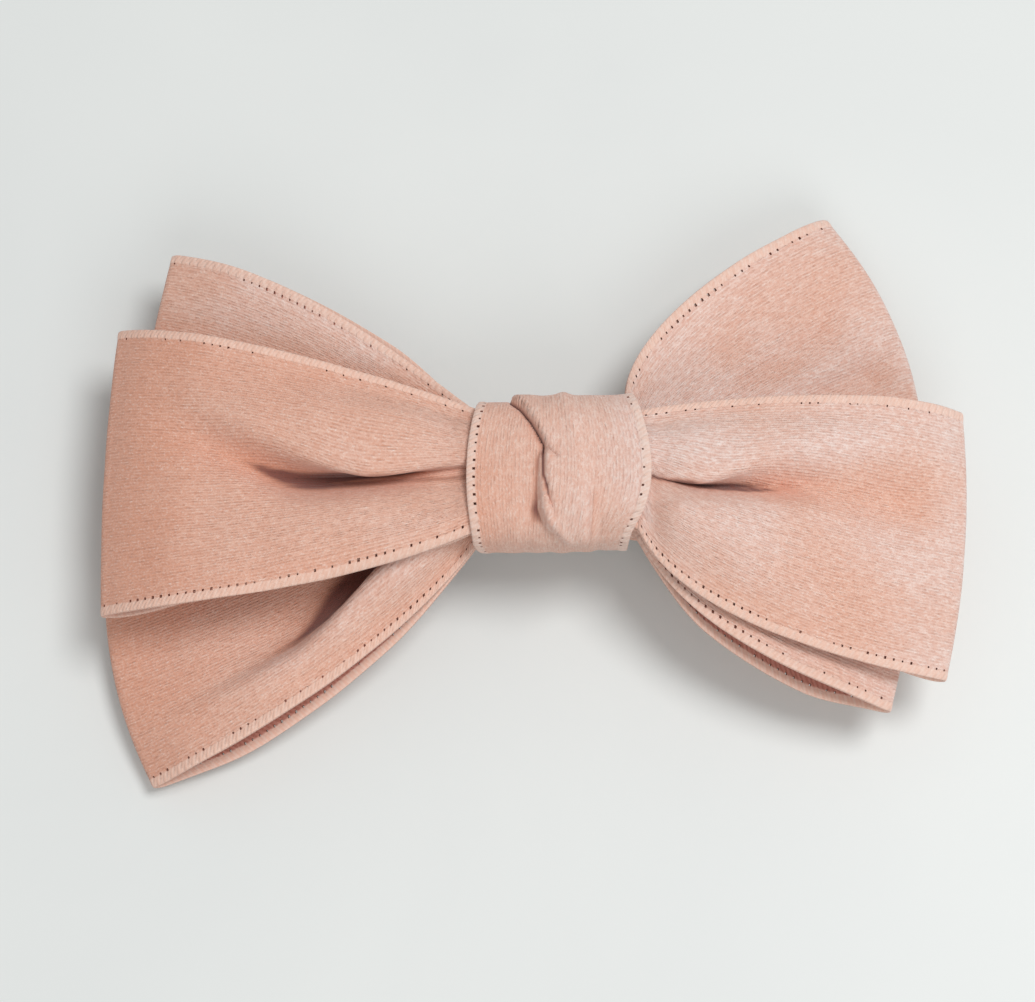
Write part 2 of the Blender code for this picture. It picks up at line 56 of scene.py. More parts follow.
RIBBON_WIDTH = 40.0
WRAP_RIBBON_WIDTH = 25.0
THICKNESS = 0.55
HEM_THICKNESS = 0.64
STITCH_PITCH = 1.2
STITCH_COLUMNS = 4            # cross-lines of the mesh to each stitch: two at its hole, two between
STITCH_RELIEF = 0.07
INNER_RELIEF = STITCH_RELIEF * 0.6
HOLE_LENGTH = 0.36
SMALLEST_HOLE = 0.22          # a hole drawn smaller than this share of the full size stays shut
BOW_HOLES = (1.08, 1.52)      # the row of stitch holes lies between these distances from the edge
WRAP_HOLES = (0.82, 1.22)
SHARP_ANGLE = 75.0
HEM_KEPT = 3.0                # a gathered ribbon keeps its true width this far in from its edge


# ---------------- number helpers

def mix(a, b, share):
    return a + (b - a) * share


def ease(value, low=0.0, high=1.0):
    share = np.clip((np.asarray(value, float) - low) / (high - low), 0.0, 1.0)
    return share * share * (3 - 2 * share)


def window(value, low, full, fading, gone):
    """Eases up to 1 from low to full, and back down to 0 from fading to gone."""
    return ease(value, low, full) * (1 - ease(value, fading, gone))


def bell(value, centre, width):
    return np.exp(-(((value - centre) / width) ** 2))


def cubic(points, t):
    a, b, c, d = (np.array(p, float) for p in points)
    t = np.asarray(t, float)[..., None]
    r = 1 - t
    return a * r ** 3 + b * (3 * r * r * t) + c * (3 * r * t * t) + d * t ** 3


def ripple(x, y, seed, size):
    """Smooth irregular waves between about -1 and 1, from a few crossed sines."""
    draw = np.random.default_rng(seed)
    total = 0.0
    for _ in range(7):
        angle = draw.uniform(0, math.tau)
        wave = math.tau / (size * draw.uniform(0.7, 1.9))
        phase = draw.uniform(0, math.tau)
        total = total + np.sin(wave * (x * math.cos(angle) + y * math.sin(angle)) + phase)
    return total / 3.0


def along_line(x, y, line):
    """Signed distance from a bent line, positive to the right of its direction of travel."""
    best = np.full(x.shape, 1e9)
    sign = np.ones(x.shape)
    for (ax, ay), (bx, by) in zip(line, line[1:]):
        dx, dy = bx - ax, by - ay
        size = dx * dx + dy * dy
        t = np.clip(((x - ax) * dx + (y - ay) * dy) / size, 0, 1)
        gap = np.hypot(x - ax - t * dx, y - ay - t * dy)
        side = np.where(dx * (y - ay) - dy * (x - ax) > 0, -1.0, 1.0)
        nearer = gap < best
        sign = np.where(nearer, side, sign)
        best = np.where(nearer, gap, best)
    return best * sign


def signed_power(wave, power):
    """A sine or cosine made squarer (power below 1) or more pointed, with its sign kept."""
    return np.sign(wave) * abs(wave) ** power


def squared_ring(angle, half_width, levels, squareness, cover=0.0):
    """A box section with rounded corners, (y, z) by angle, its squareness set above and below.

    levels are its bottom, its middle and its top, and cover is added all round.
    """
    bottom, middle, top = levels
    up = np.sin(angle) >= 0
    power = np.where(up, 2 / squareness[0], 2 / squareness[1])
    reach = np.where(up, top - middle, middle - bottom) + cover
    y = (half_width + cover) * signed_power(np.cos(angle), power)
    return y, middle + reach * signed_power(np.sin(angle), power)


def to_frame(points):
    shifted = np.array(points, float)
    shifted[..., 0] += CLIP_X
    shifted[..., 1] += CLIP_Y
    return shifted * MM


def put_in_scene(name, data):
    obj = bpy.data.objects.new(name, data)
    bpy.context.scene.collection.objects.link(obj)
    return obj


# ---------------- materials

HEM_BAND = (1.0, 1.4)         # the whipped stitching ends between these distances from the edge
HEM_THREAD_PITCH = 0.6
EDGE_THREAD_PITCH = 0.4
LINING_CORD_PITCH = 0.62
RIB_PITCH = 0.44
WRAP_RIB_PITCH = 0.47


class Nodes:
    """Short-hand for building a material's node tree."""

    def __init__(self, name):
        self.material = bpy.data.materials.new(name)
        self.material.use_nodes = True
        self.tree = self.material.node_tree
        self.shader = self.tree.nodes["Principled BSDF"]

    def add(self, kind, **values):
        node = self.tree.nodes.new(kind)
        for key, value in values.items():
            setattr(node, key, value)
        return node

    def link(self, source, target):
        self.tree.links.new(source, target)

    def feed(self, socket, value):
        if isinstance(value, bpy.types.NodeSocket):
            self.link(value, socket)
        else:
            socket.default_value = value

    def math(self, operation, a, b=0.0, c=0.0):
        node = self.add("ShaderNodeMath", operation=operation)
        for socket, value in zip(node.inputs, (a, b, c)):
            self.feed(socket, value)
        return node.outputs[0]

    def times(self, a, b):
        return self.math("MULTIPLY", a, b)

    def plus(self, a, b):
        return self.math("ADD", a, b)

    def smooth(self, value, low, high, out_low=0.0, out_high=1.0):
        node = self.add("ShaderNodeMapRange", interpolation_type="SMOOTHSTEP")
        for socket, item in zip(node.inputs, (value, low, high, out_low, out_high)):
            self.feed(socket, item)
        return node.outputs[0]

    def blend(self, share, a, b):
        node = self.add("ShaderNodeMix", data_type="RGBA")
        self.feed(node.inputs["Factor"], share)
        self.feed(node.inputs[6], a)
        self.feed(node.inputs[7], b)
        return node.outputs[2]

    def scaled(self, vector, factors):
        node = self.add("ShaderNodeVectorMath", operation="MULTIPLY")
        self.link(vector, node.inputs[0])
        node.inputs[1].default_value = factors
        return node.outputs[0]

    def noise(self, vector, scale, detail=2.0, roughness=0.5, distortion=0.0):
        node = self.add("ShaderNodeTexNoise")
        self.link(vector, node.inputs["Vector"])
        labels = ("Scale", "Detail", "Roughness", "Distortion")
        for label, value in zip(labels, (scale, detail, roughness, distortion)):
            node.inputs[label].default_value = value
        return node.outputs["Fac"]

    def bump(self, height, distance_mm, normal=None, strength=1.0):
        node = self.add("ShaderNodeBump")
        node.inputs["Strength"].default_value = strength
        node.inputs["Distance"].default_value = distance_mm * MM
        self.link(height, node.inputs["Height"])
        if normal:
            self.link(normal, node.inputs["Normal"])
        return node.outputs[0]

    def finish(self, colour, roughness, normal=None, specular=0.5, sheen=0.0):
        inputs = self.shader.inputs
        self.link(colour, inputs["Base Color"])
        self.feed(inputs["Roughness"], roughness)
        inputs["Specular IOR Level"].default_value = specular
        inputs["Sheen Weight"].default_value = sheen
        if normal:
            self.link(normal, inputs["Normal"])
        return self.material


def tinted(colour, red, green, blue):
    """A colour with each channel scaled, as the four values that a socket takes."""
    return tuple(min(1.0, c * t) for c, t in zip(colour, (red, green, blue))) + (1.0,)


def darker(colour, share):
    return tinted(colour, share, share, share)


def cloth_coordinates(n):
    """The cloth's own position in mm, whole and as its parts.

    The parts are how far along the ribbon, how far across it, and how far in from its hem.
    """
    position = n.add("ShaderNodeAttribute", attribute_name="cloth_mm").outputs["Vector"]
    split = n.add("ShaderNodeSeparateXYZ")
    n.link(position, split.inputs[0])
    return position, split.outputs[0], split.outputs[1], split.outputs[2]


def whipped_stitches(n, along, across):
    """The slanting threads of the hem's stitching and its beads, one to a stitch, as waves."""
    slant = n.math("MULTIPLY_ADD", across, 0.6, along)
    thread = n.math("SINE", n.times(slant, math.tau / HEM_THREAD_PITCH))
    bead = n.math("COSINE", n.times(along, math.tau / STITCH_PITCH))
    return thread, bead


def hem_coloured(n, cloth, band, stitches, base, colour, cover):
    """A cloth's colour with paler whipped stitching in a band along each hem."""
    thread, bead = stitches
    worn = n.times(n.noise(cloth, 0.9, 2.0), 2.0)
    shade = n.smooth(n.plus(n.plus(thread, bead), worn), -0.6, 2.4, 0.0, 0.8)
    stitched = n.blend(shade, tinted(colour, 1.05, 1.22, 1.32), (*colour, 1.0))
    return n.blend(n.times(band, cover), base, stitched)


def ribbon_material(name, rich, middle, pale, rib_pitch=RIB_PITCH, ribbing=0.54):
    """Brushed cloth with painted shade and sheen: deeper in hollows and where it turns from the light, paler
    where it is raised or lit.
    """
    n = Nodes(name)
    cloth, along, across, edge = cloth_coordinates(n)
    # painted sheen and shade, read from the shape of the cloth, with random patches of its own tone added
    # below
    painted_light = n.add("ShaderNodeAttribute", attribute_name="painted_light").outputs["Fac"]
    # painted shade in creases and on cloth hidden from the light
    crease = n.add("ShaderNodeAttribute", attribute_name="crease").outputs["Fac"]
    patch = n.noise(cloth, 0.07, 3.0, 0.55)
    painted_light = n.plus(painted_light, n.smooth(patch, 0.3, 0.7, -0.10, 0.10))

    # fine ribs along the ribbon, each broken at random into short darker dashes
    drift = n.times(n.noise(n.scaled(cloth, (0.06, 0.30, 1)), 1.0), 0.45)
    rib = n.math("DIVIDE", n.plus(across, drift), rib_pitch)
    index = n.math("FLOOR", rib)
    within = n.math("ABSOLUTE", n.math("SUBTRACT", n.math("FRACT", rib), 0.5))
    line = n.smooth(within, 0.08, 0.34, 1.0, 0.0)
    place = n.add("ShaderNodeCombineXYZ")
    n.link(n.math("MULTIPLY_ADD", along, 0.85, n.times(index, 17.31)), place.inputs[0])
    n.link(n.times(index, 5.77), place.inputs[1])
    dash = n.times(n.smooth(n.noise(place.outputs[0], 1.0, 3.0, 0.7), 0.40, 0.66), line)

    fuzz = n.noise(cloth, 3.0, 5.0, 0.80)
    fluff = n.noise(n.scaled(cloth, (0.8, 1.3, 1.0)), 1.25, 4.0, 0.72)
    inner = n.smooth(edge, *HEM_BAND)
    band = n.smooth(edge, *HEM_BAND, 1.0, 0.0)
    thread, bead = whipped_stitches(n, along, across)

    # painted shade leans towards the rich tone, painted sheen towards the pale one
    base = n.blend(n.smooth(painted_light, 0.0, 0.5), (*rich, 1.0), (*middle, 1.0))
    base = n.blend(n.smooth(painted_light, 0.42, 1.0), base, (*pale, 1.0))
    deep = tinted(rich, 0.88, 0.76, 0.72)
    rib_tone = tinted(rich, 0.80, 0.64, 0.56)
    base = n.blend(n.smooth(fuzz, 0.47, 0.70, 0.0, 0.75), base, tinted(pale, 1.03, 1.06, 1.06))
    base = n.blend(n.smooth(fuzz, 0.30, 0.50, 0.62, 0.0), base, deep)
    base = n.blend(n.smooth(fluff, 0.38, 0.66, 0.42, 0.0), base, deep)
    strength = n.smooth(n.noise(cloth, 0.13, 2.0), 0.3, 0.7, 0.5 * ribbing, ribbing)
    strength = n.times(strength, n.smooth(painted_light, 0.35, 0.8, 1.0, 0.45))
    base = n.blend(n.times(n.times(dash, inner), strength), base, rib_tone)
    base = n.blend(n.times(n.times(line, inner), 0.22 * ribbing), base, rib_tone)
    base = hem_coloured(n, cloth, band, (thread, bead), base, middle, 0.7)
    # painted shade in creases: a crease's sides blush before its bottom goes dark
    base = n.blend(n.smooth(crease, 0.0, 0.6, 0.0, 0.55), base, tinted(rich, 0.82, 0.70, 0.62))
    base = n.blend(n.smooth(crease, 0.25, 0.80, 0.0, 0.96), base, (*CREASE_SHADE, 1.0))
    n.shader.inputs["Sheen Roughness"].default_value = 0.65
    n.shader.inputs["Sheen Tint"].default_value = (1.0, 0.92, 0.90, 1.0)

    ribs = n.math("MULTIPLY_ADD", line, -0.45, n.times(dash, -0.8))
    normal = n.bump(n.times(ribs, inner), 0.05)
    normal = n.bump(fuzz, 0.09, normal)
    normal = n.bump(fluff, 0.10, normal)
    stitches = n.plus(thread, n.times(bead, 1.5))
    normal = n.bump(n.times(band, stitches), 0.02, normal)
    return n.finish(base, n.smooth(fuzz, 0.3, 0.8, 0.84, 0.99), normal, 0.12, 0.30)


def lining_material(name, colour, hem):
    """The ribbon's other face, seen inside the loops: a deeper colour with a slanting cord."""
    n = Nodes(name)
    cloth, along, across, edge = cloth_coordinates(n)
    slant = n.plus(n.times(along, 0.80), n.times(across, 0.6))
    drift = n.times(n.noise(cloth, 0.8), 0.5)
    cords = n.math("SINE", n.times(n.plus(slant, drift), math.tau / LINING_CORD_PITCH))
    cords = n.math("MULTIPLY_ADD", cords, 0.5, 0.5)
    fuzz = n.noise(cloth, 4.0, 3.0, 0.65)
    base = n.blend(n.smooth(cords, 0.1, 0.8), tinted(colour, 0.86, 0.74, 0.72), (*colour, 1.0))
    base = n.blend(n.times(fuzz, 0.25), base, tinted(colour, 1.1, 1.2, 1.2))
    band = n.smooth(edge, *HEM_BAND, 1.0, 0.0)
    base = hem_coloured(n, cloth, band, whipped_stitches(n, along, across), base, hem, 0.9)
    normal = n.bump(n.times(cords, n.math("SUBTRACT", 1.0, band)), 0.08)
    normal = n.bump(fuzz, 0.07, normal)
    return n.finish(base, n.smooth(fuzz, 0.2, 0.8, 0.82, 0.98), normal, 0.12, 0.2)


def edge_material(name, colour):
    """The bound edge of the ribbon and the walls of its stitch holes."""
    n = Nodes(name)
    cloth, along, _, edge = cloth_coordinates(n)
    thread = n.math("SINE", n.times(along, math.tau / EDGE_THREAD_PITCH))
    thread = n.math("MULTIPLY_ADD", thread, 0.5, 0.5)
    fuzz = n.noise(cloth, 5.0, 3.0, 0.6)
    base = n.blend(thread, tinted(colour, 0.88, 0.80, 0.78), (*colour, 1.0))
    # the walls of the holes lie further in than the bound edge, and get painted shade
    base = n.blend(n.smooth(edge, 0.5, 0.9), base, tinted(colour, 0.5, 0.32, 0.28))
    normal = n.bump(n.plus(thread, fuzz), 0.03)
    return n.finish(base, n.smooth(fuzz, 0.2, 0.8, 0.75, 0.95), normal, 0.15)


def felt_material(name, colour):
    n = Nodes(name)
    place = n.add("ShaderNodeTexCoord").outputs["Object"]
    fibres = n.noise(place, 2600.0, 5.0, 0.7, 1.5)
    clumps = n.noise(place, 420.0, 3.0, 0.6)
    deep = darker(colour, 0.72)
    base = n.blend(n.smooth(fibres, 0.35, 0.7), deep, (*colour, 1.0))
    base = n.blend(n.times(clumps, 0.3), base, deep)
    normal = n.bump(fibres, 0.12, n.bump(clumps, 0.25))
    return n.finish(base, n.smooth(fibres, 0.2, 0.8, 0.86, 0.99), normal, 0.1, 0.5)


def metal_material(name, colour, roughness, grain=(1.0, 14.0, 14.0)):
    """Nickel-plated spring steel: drawn grain, soft smudges and fine handling scratches."""
    n = Nodes(name)
    place = n.add("ShaderNodeTexCoord").outputs["Object"]
    drawn = n.noise(n.scaled(place, grain), 620.0, 3.0, 0.6)
    smudge = n.noise(place, 130.0, 3.0, 0.55)
    scratch = n.noise(n.scaled(place, (9.0, 1.0, 3.0)), 520.0, 2.0, 0.5, 2.0)
    scratch = n.smooth(scratch, 0.66, 0.70)
    base = n.blend(n.smooth(smudge, 0.35, 0.75), (*colour, 1.0), darker(colour, 0.86))
    base = n.blend(n.times(scratch, 0.3), base, darker(colour, 0.7))
    n.shader.inputs["Metallic"].default_value = 1.0
    rough = n.smooth(smudge, 0.3, 0.8, roughness * 0.8, roughness * 1.5)
    rough = n.plus(rough, n.times(scratch, 0.14))
    rough = n.plus(rough, n.times(drawn, 0.06))
    return n.finish(base, rough, n.bump(scratch, 0.006, n.bump(drawn, 0.006), -1.0))


def thread_material(name, colour):
    n = Nodes(name)
    place = n.add("ShaderNodeTexCoord").outputs["Object"]
    twist = n.add("ShaderNodeTexWave", wave_type="BANDS", bands_direction="DIAGONAL")
    n.link(place, twist.inputs["Vector"])
    twist.inputs["Scale"].default_value = 900.0
    twist.inputs["Distortion"].default_value = 0.6
    base = n.blend(twist.outputs["Fac"], darker(colour, 0.7), (*colour, 1.0))
    rough = n.smooth(n.noise(place, 3000.0), 0.2, 0.8, 0.55, 0.8)
    return n.finish(base, rough, n.bump(twist.outputs["Fac"], 0.05))


# RICH is the cloth's colour in painted shade, PALE and WRAP_PALE its colour in painted sheen; MIDDLE and
# WRAP_MIDDLE are its own tones
RICH = (0.775, 0.385, 0.26)
MIDDLE = (0.87, 0.545, 0.425)
PALE = (0.94, 0.795, 0.745)
WRAP_MIDDLE = (0.84, 0.58, 0.475)
WRAP_PALE = (0.89, 0.745, 0.70)
# painted shade at the bottom of a crease
CREASE_SHADE = (0.20, 0.065, 0.05)
LINING = (0.62, 0.275, 0.215)
BOUND_EDGE = (0.80, 0.56, 0.47)
CLOTH_LOOKS = [
    ribbon_material("brushed_ribbon", RICH, MIDDLE, PALE),
    lining_material("ribbon_inner_face", LINING, MIDDLE),
    edge_material("ribbon_bound_edge", BOUND_EDGE),
]
wrap_look = ribbon_material("wrap_ribbon", RICH, WRAP_MIDDLE, WRAP_PALE, WRAP_RIB_PITCH, 0.17)
WRAP_LOOKS = [wrap_look, *CLOTH_LOOKS[1:]]


# ---------------- ribbon built as a thick sheet

def cloth_rows(width, holes, fine_rows):
    """Distances across the ribbon, from its lower hem to its upper one, closer in the hems."""
    hem = [0.0, 0.14, 0.40, holes[0] * 0.72, holes[0], holes[1], 2.1, 2.9]
    middle = np.linspace(hem[-1], width - hem[-1], fine_rows)[1:-1]
    return np.array(hem + list(middle) + [width - h for h in reversed(hem)])


def cloth_columns(length):
    """Distances along the ribbon: each stitch's hole, then the solid stretch before the next."""
    stitches = max(8, round(length / STITCH_PITCH))
    pitch = length / stitches
    solid = pitch - HOLE_LENGTH
    steps = np.array([0.0, HOLE_LENGTH, HOLE_LENGTH + solid / 3, HOLE_LENGTH + solid * 2 / 3])
    return (np.arange(stitches)[:, None] * pitch + steps[None, :]).ravel()


def surface_normals(points):
    du = np.roll(points, -1, 0) - np.roll(points, 1, 0)
    dv = np.gradient(points, axis=1)
    normal = np.cross(dv, du)
    size = np.linalg.norm(normal, axis=2, keepdims=True)
    return normal / np.maximum(size, 1e-9)


def blurred(values, sigma_rows):
    """A bell-shaped average across the ribbon, with the values at its edges held."""
    reach = max(1, int(3 * sigma_rows))
    kernel = np.exp(-0.5 * (np.arange(-reach, reach + 1) / sigma_rows) ** 2)
    kernel /= kernel.sum()
    padded = np.pad(values, [(0, 0), (reach, reach)], mode="edge")
    return np.apply_along_axis(lambda line: np.convolve(line, kernel, "valid"), 1, padded)


def row_gap(points):
    return np.median(np.linalg.norm(np.diff(points, axis=1), axis=2))


def painted_sheen_and_shade(points):
    """Painted sheen and shade: paler where the ribbon climbs along its length and on swells, deeper in
    hollows.

    The painted sheen is also laid paler or deeper in broad patches of the bow, as brushed cloth catches the
    light one way or the other.
    """
    run = np.roll(points, -1, 0) - np.roll(points, 1, 0)
    climb = run[..., 2] / np.maximum(np.linalg.norm(run, axis=2), 1e-9)
    height = points[..., 2]
    swell = height - blurred(height, 4.5 / row_gap(points))
    x, y = points[..., 0], points[..., 1]
    by_side = 0.22 * ease(x, -6, 6) - 0.08 + 0.14 * bell(abs(x), 12, 12)
    by_side = by_side + 0.18 * bell(x, 30, 26) * ease(y, -3, 4)
    lower_left = 0.12 * ease(-x, 12, 20) * ease(-y, 12, 22)
    upper_left = 0.42 * ease(-x, 12, 30) * ease(y - 0.30 * abs(x), 4, 11)
    ends = 0.10 * ease(x, 38, 50) * ease(-y, -12, -6) - 0.20 * ease(-x, 42, 60)
    glow = -0.24 * bell(np.hypot(x - 33, y - 31), 0, 9) - 0.14 * bell(np.hypot(x - 46, y - 0), 0, 7)
    return np.clip(0.41 + by_side + lower_left + upper_left + ends + glow + 0.20 * climb + 0.08 * swell, 0, 1)


def crease_shade(points, normal, reach):
    """Painted shade for folds: 0 on open cloth and 1 in tight folds, fading out past the given reach to
    either side.
    """
    sigma = 1.3 / row_gap(points)
    centre = np.stack([blurred(points[..., k], sigma) for k in range(3)], -1)
    tight = np.clip(((centre - points) * normal).sum(-1) / 0.6 - 0.28, 0, 1)
    x = points[..., 0]
    left_fade = 1 - ease(-x, reach[0], reach[0] + 12)
    right_fade = 1 - ease(x, reach[1], reach[1] + 10)
    return tight * np.where(x < 0, left_fade, right_fade)


def thick_cloth(
    name, points, along, across, width, looks, seed, painted_light, holes,
    open_shares, flip=False, crease_reach=(36, 22), painted_shade=0.0,
):
    """A closed loop of ribbon: two faces, bound edges, and stitch holes cut right through.

    points is (columns, rows, 3) in mm; columns run round the loop and rows across the ribbon.
    open_shares says how open the holes are on its lower hem and its upper one, flip turns its
    outer face round, nap is its painted sheen and shade, and tucked is painted shade, 1 where it is hidden
    from the light.
    """
    count, rows = points.shape[:2]
    draw = np.random.default_rng(seed)
    points = points.copy()
    open_holes = []
    row_low = int(np.argmin(abs(across - holes[0])))
    row_high = int(np.argmin(abs(across - (width - holes[1]))))
    for row, open_share in zip((row_low, row_high), open_shares):
        stitches = count // STITCH_COLUMNS
        wander = ripple(np.arange(stitches) * 1.0, np.zeros(stitches), seed + row, 13.0)
        size = np.clip(open_share + 0.32 * wander + draw.uniform(-0.42, 0.42, stitches), 0.0, 1.0)
        first = np.arange(stitches) * STITCH_COLUMNS
        corners = [(first, row), (first + 1, row), (first + 1, row + 1), (first, row + 1)]
        centre = sum(points[i, j] for i, j in corners) / 4
        for i, j in corners:
            points[i, j] = centre + (points[i, j] - centre) * mix(0.45, 1.0, size)[:, None]
        open_holes.append((row, first[size > SMALLEST_HOLE]))
    normal = surface_normals(points)
    if flip:
        normal = -normal
    in_from_hem = np.minimum(across, width - across)
    raised = np.where(np.arange(count) % STITCH_COLUMNS >= 2, 1.0, 0.0)
    hem_band = window(in_from_hem, 0.0, 0.3, 0.95, 1.25)
    thickness = mix(THICKNESS, HEM_THICKNESS, hem_band * (1 - ease(in_from_hem, 0.9, 1.3)))
    thickness = np.where(in_from_hem < 0.1, THICKNESS * 0.75, thickness)
    outer_lift = thickness / 2 + STITCH_RELIEF * raised[:, None] * hem_band
    inner_lift = thickness / 2 + INNER_RELIEF * raised[:, None] * hem_band
    outer = points + normal * outer_lift[..., None]
    inner = points - normal * inner_lift[..., None]
    vertices = to_frame(np.concatenate([outer.reshape(-1, 3), inner.reshape(-1, 3)]))
    total = count * rows

    i = np.arange(count)[:, None]
    j = np.arange(rows - 1)[None, :]
    after = (i + 1) % count
    keep = np.ones((count, rows - 1), bool)
    for row, stitched in open_holes:
        keep[stitched, row] = False
    a, b = i * rows + j, i * rows + j + 1
    c, d = after * rows + j + 1, after * rows + j
    quads = np.stack([a, b, c, d], -1)
    if flip:
        quads = quads[..., ::-1]
    faces = quads[keep]
    edges = np.stack([faces, np.roll(faces, -1, 1)], -1).reshape(-1, 2)
    code = edges[:, 0] * total + edges[:, 1]
    back = edges[:, 1] * total + edges[:, 0]
    rim = edges[~np.isin(code, back)]
    walls = np.stack([rim[:, 1], rim[:, 0], rim[:, 0] + total, rim[:, 1] + total], -1)
    every = np.concatenate([faces, faces[:, ::-1] + total, walls])
    slots = np.concatenate([np.zeros(len(faces)), np.ones(len(faces)), np.full(len(walls), 2)])

    mesh = bpy.data.meshes.new(name)
    mesh.from_pydata(vertices.tolist(), [], every.tolist())
    mesh.polygons.foreach_set("material_index", slots.astype(np.int32))
    mesh.shade_smooth()
    mesh.update()
    mesh.set_sharp_from_angle(angle=math.radians(SHARP_ANGLE))
    cloth = np.zeros((2, count, rows, 3))          # the same for the outer face and the inner one
    cloth[..., 0] = along[None, :, None]
    cloth[..., 1] = across
    cloth[..., 2] = in_from_hem
    attribute = mesh.attributes.new("cloth_mm", "FLOAT_VECTOR", "POINT")
    attribute.data.foreach_set("vector", cloth.reshape(-1).astype(np.float32))
    # painted shade: tight folds and hidden cloth, kept as the crease attribute
    crease = np.clip(crease_shade(points, normal, crease_reach) + painted_shade, 0, 1)
    for label, values in (("painted_light", painted_light), ("crease", crease)):
        attribute = mesh.attributes.new(label, "FLOAT", "POINT")
        attribute.data.foreach_set("value", np.tile(values.ravel(), 2).astype(np.float32))
    obj = put_in_scene(name, mesh)
    for look in looks:
        mesh.materials.append(look)
    mesh.update()
    return obj


def even_columns(dense, measured_rows):
    """Re-spaces a dense loop of cross-lines so that its columns lie evenly along the cloth.

    The cloth's length is the mean of the lengths of its measured rows.
    """
    ring = np.concatenate([dense, dense[:1]])
    step = np.linalg.norm(np.diff(ring, axis=0), axis=2)[:, measured_rows].mean(1)
    reach = np.concatenate([[0.0], np.cumsum(step)])
    columns = cloth_columns(reach[-1])
    out = np.empty((len(columns), dense.shape[1], 3))
    for row in range(dense.shape[1]):
        for axis in range(3):
            out[:, row, axis] = np.interp(columns, reach, ring[:, row, axis])
    return out, columns, reach[-1]


def smooth_round(points, columns, length, sigma):
    """Eases sharp turns along a closed loop, with a bell of the given reach in mm."""
    grid = np.linspace(0, length, max(64, int(length / 0.3)), endpoint=False)
    ring_at = np.concatenate([columns, [columns[0] + length]])
    step = grid[1] - grid[0]
    reach = int(4 * sigma / step)
    kernel = np.exp(-0.5 * (np.arange(-reach, reach + 1) * step / sigma) ** 2)
    kernel /= kernel.sum()
    out = np.empty_like(points)
    for row in range(points.shape[1]):
        for axis in range(3):
            values = points[:, row, axis]
            even = np.interp(grid, ring_at, np.append(values, values[0]))
            padded = np.concatenate([even[-reach:], even, even[:reach]])
            eased = np.convolve(padded, kernel, "valid")
            out[:, row, axis] = np.interp(columns, np.append(grid, length), np.append(eased, eased[0]))
    return out


# ---------------- the three bows

LAYER_PITCH = 1.22
FIRST_LAYER_Z = 15.8
PLEAT_HEIGHT = 1.0
PLEAT_FADE = 0.1
FOLD_RADIUS = 0.75
OPENING_SKEW = 2.2
PINCH_AT_CENTRE = 0.86
CLOTH_EASING = 0.55
SURFACE_WAVE = 0.16
LAYER_STEPS = 240
FOLD_STEPS = 14
PINCH_STEPS = 26


class Lobe:
    """One loop of a bow: v goes from its lower hem to its upper, and s from the wrap to its fold."""

    def __init__(self, lower, upper, fold_z, fall, bulge, puff, back_puff, front=None, back_reach=(0.0, 0.0)):
        self.lower, self.upper = lower, upper
        self.fold_z, self.fall, self.bulge = fold_z, fall, bulge
        self.puff, self.back_puff = puff, back_puff
        self.front = front                # extra shape of the front layer, as (dy, dz)
        self.back_reach = back_reach      # how far the back layer's hems stand out past the front's
        self.side = math.copysign(1, upper[3][0])


def lobe_flat(lobe, s, v):
    low, high = cubic(lobe.lower, s), cubic(lobe.upper, s)
    point = low * (1 - v)[..., None] + high * v[..., None]
    run = np.array(lobe.upper[3], float) - np.array(lobe.lower[3], float)
    outward = np.array([run[1], -run[0]]) / np.linalg.norm(run) * lobe.side
    return point + outward * (lobe.bulge * 4 * v * (1 - v) * s * s)[..., None]


def spread(ends, v):
    lower, upper = ends
    if upper > lower:
        return mix(lower, upper, v ** 2.2)
    return mix(upper, lower, (1 - v) ** 2.2)


def opening(s):
    t = s ** OPENING_SKEW
    return 4 * t * (1 - t)


def pleats(v):
    return PLEAT_HEIGHT * abs(np.sin(2 * math.pi * v))


def layer_points(lobe, stack_z, front, s, v):
    flat = lobe_flat(lobe, s, v)
    middle = mix(stack_z, mix(lobe.fold_z[0], lobe.fold_z[1], v), s ** lobe.fall)
    half = mix(LAYER_PITCH / 2, FOLD_RADIUS, s)
    z = pleats(v) * (1 - ease(s, 0, PLEAT_FADE))
    shift = 0.0
    if front:
        z = z + middle + half + spread(lobe.puff, v) * opening(s)
        if lobe.front:
            shift, lift = lobe.front(s, v)
            z = z + lift
    else:
        z = z + middle - half - spread(lobe.back_puff, v) * opening(s)
        reach = window(s, 0.08, 0.35, 0.72, 1.0)
        shift = reach * (lobe.back_reach[1] * bell(v, 1, 0.25) - lobe.back_reach[0] * bell(v, 0, 0.25))
    return np.stack([flat[..., 0], flat[..., 1] + shift, z], -1)


def fold_points(lobe, angle, v):
    s = np.ones_like(v)
    flat = lobe_flat(lobe, s, v)
    z = mix(lobe.fold_z[0], lobe.fold_z[1], v) + FOLD_RADIUS * np.sin(angle)
    return np.stack([flat[..., 0] + lobe.side * FOLD_RADIUS * np.cos(angle), flat[..., 1], z], -1)


def pinched_points(left, right, layer_z, share, v):
    zero = np.zeros_like(v)
    flat = mix(lobe_flat(left, zero, v), lobe_flat(right, zero, v), share[..., None])
    waist = 1 - (1 - PINCH_AT_CENTRE) * 4 * share * (1 - share)
    return np.stack([flat[..., 0], flat[..., 1] * waist, layer_z + pleats(v)], -1)


def hem_kept_wide(lobe, s, across, width):
    """Where each row of the cloth lies across a loop, with its hems kept at their true width."""
    span = np.linalg.norm(cubic(lobe.upper, s) - cubic(lobe.lower, s), axis=-1)
    span = (span * (1.16 - 0.16 * ease(s, 0, 0.5)))[:, None]
    low_part = across / span
    high_part = 1 - (width - across) / span
    start, end = HEM_KEPT / span, 1 - HEM_KEPT / span
    between = start + (end - start) * (across - HEM_KEPT) / (width - 2 * HEM_KEPT)
    v = np.where(across < HEM_KEPT, low_part, np.where(across > width - HEM_KEPT, high_part, between))
    return np.clip(v, 0, 1)


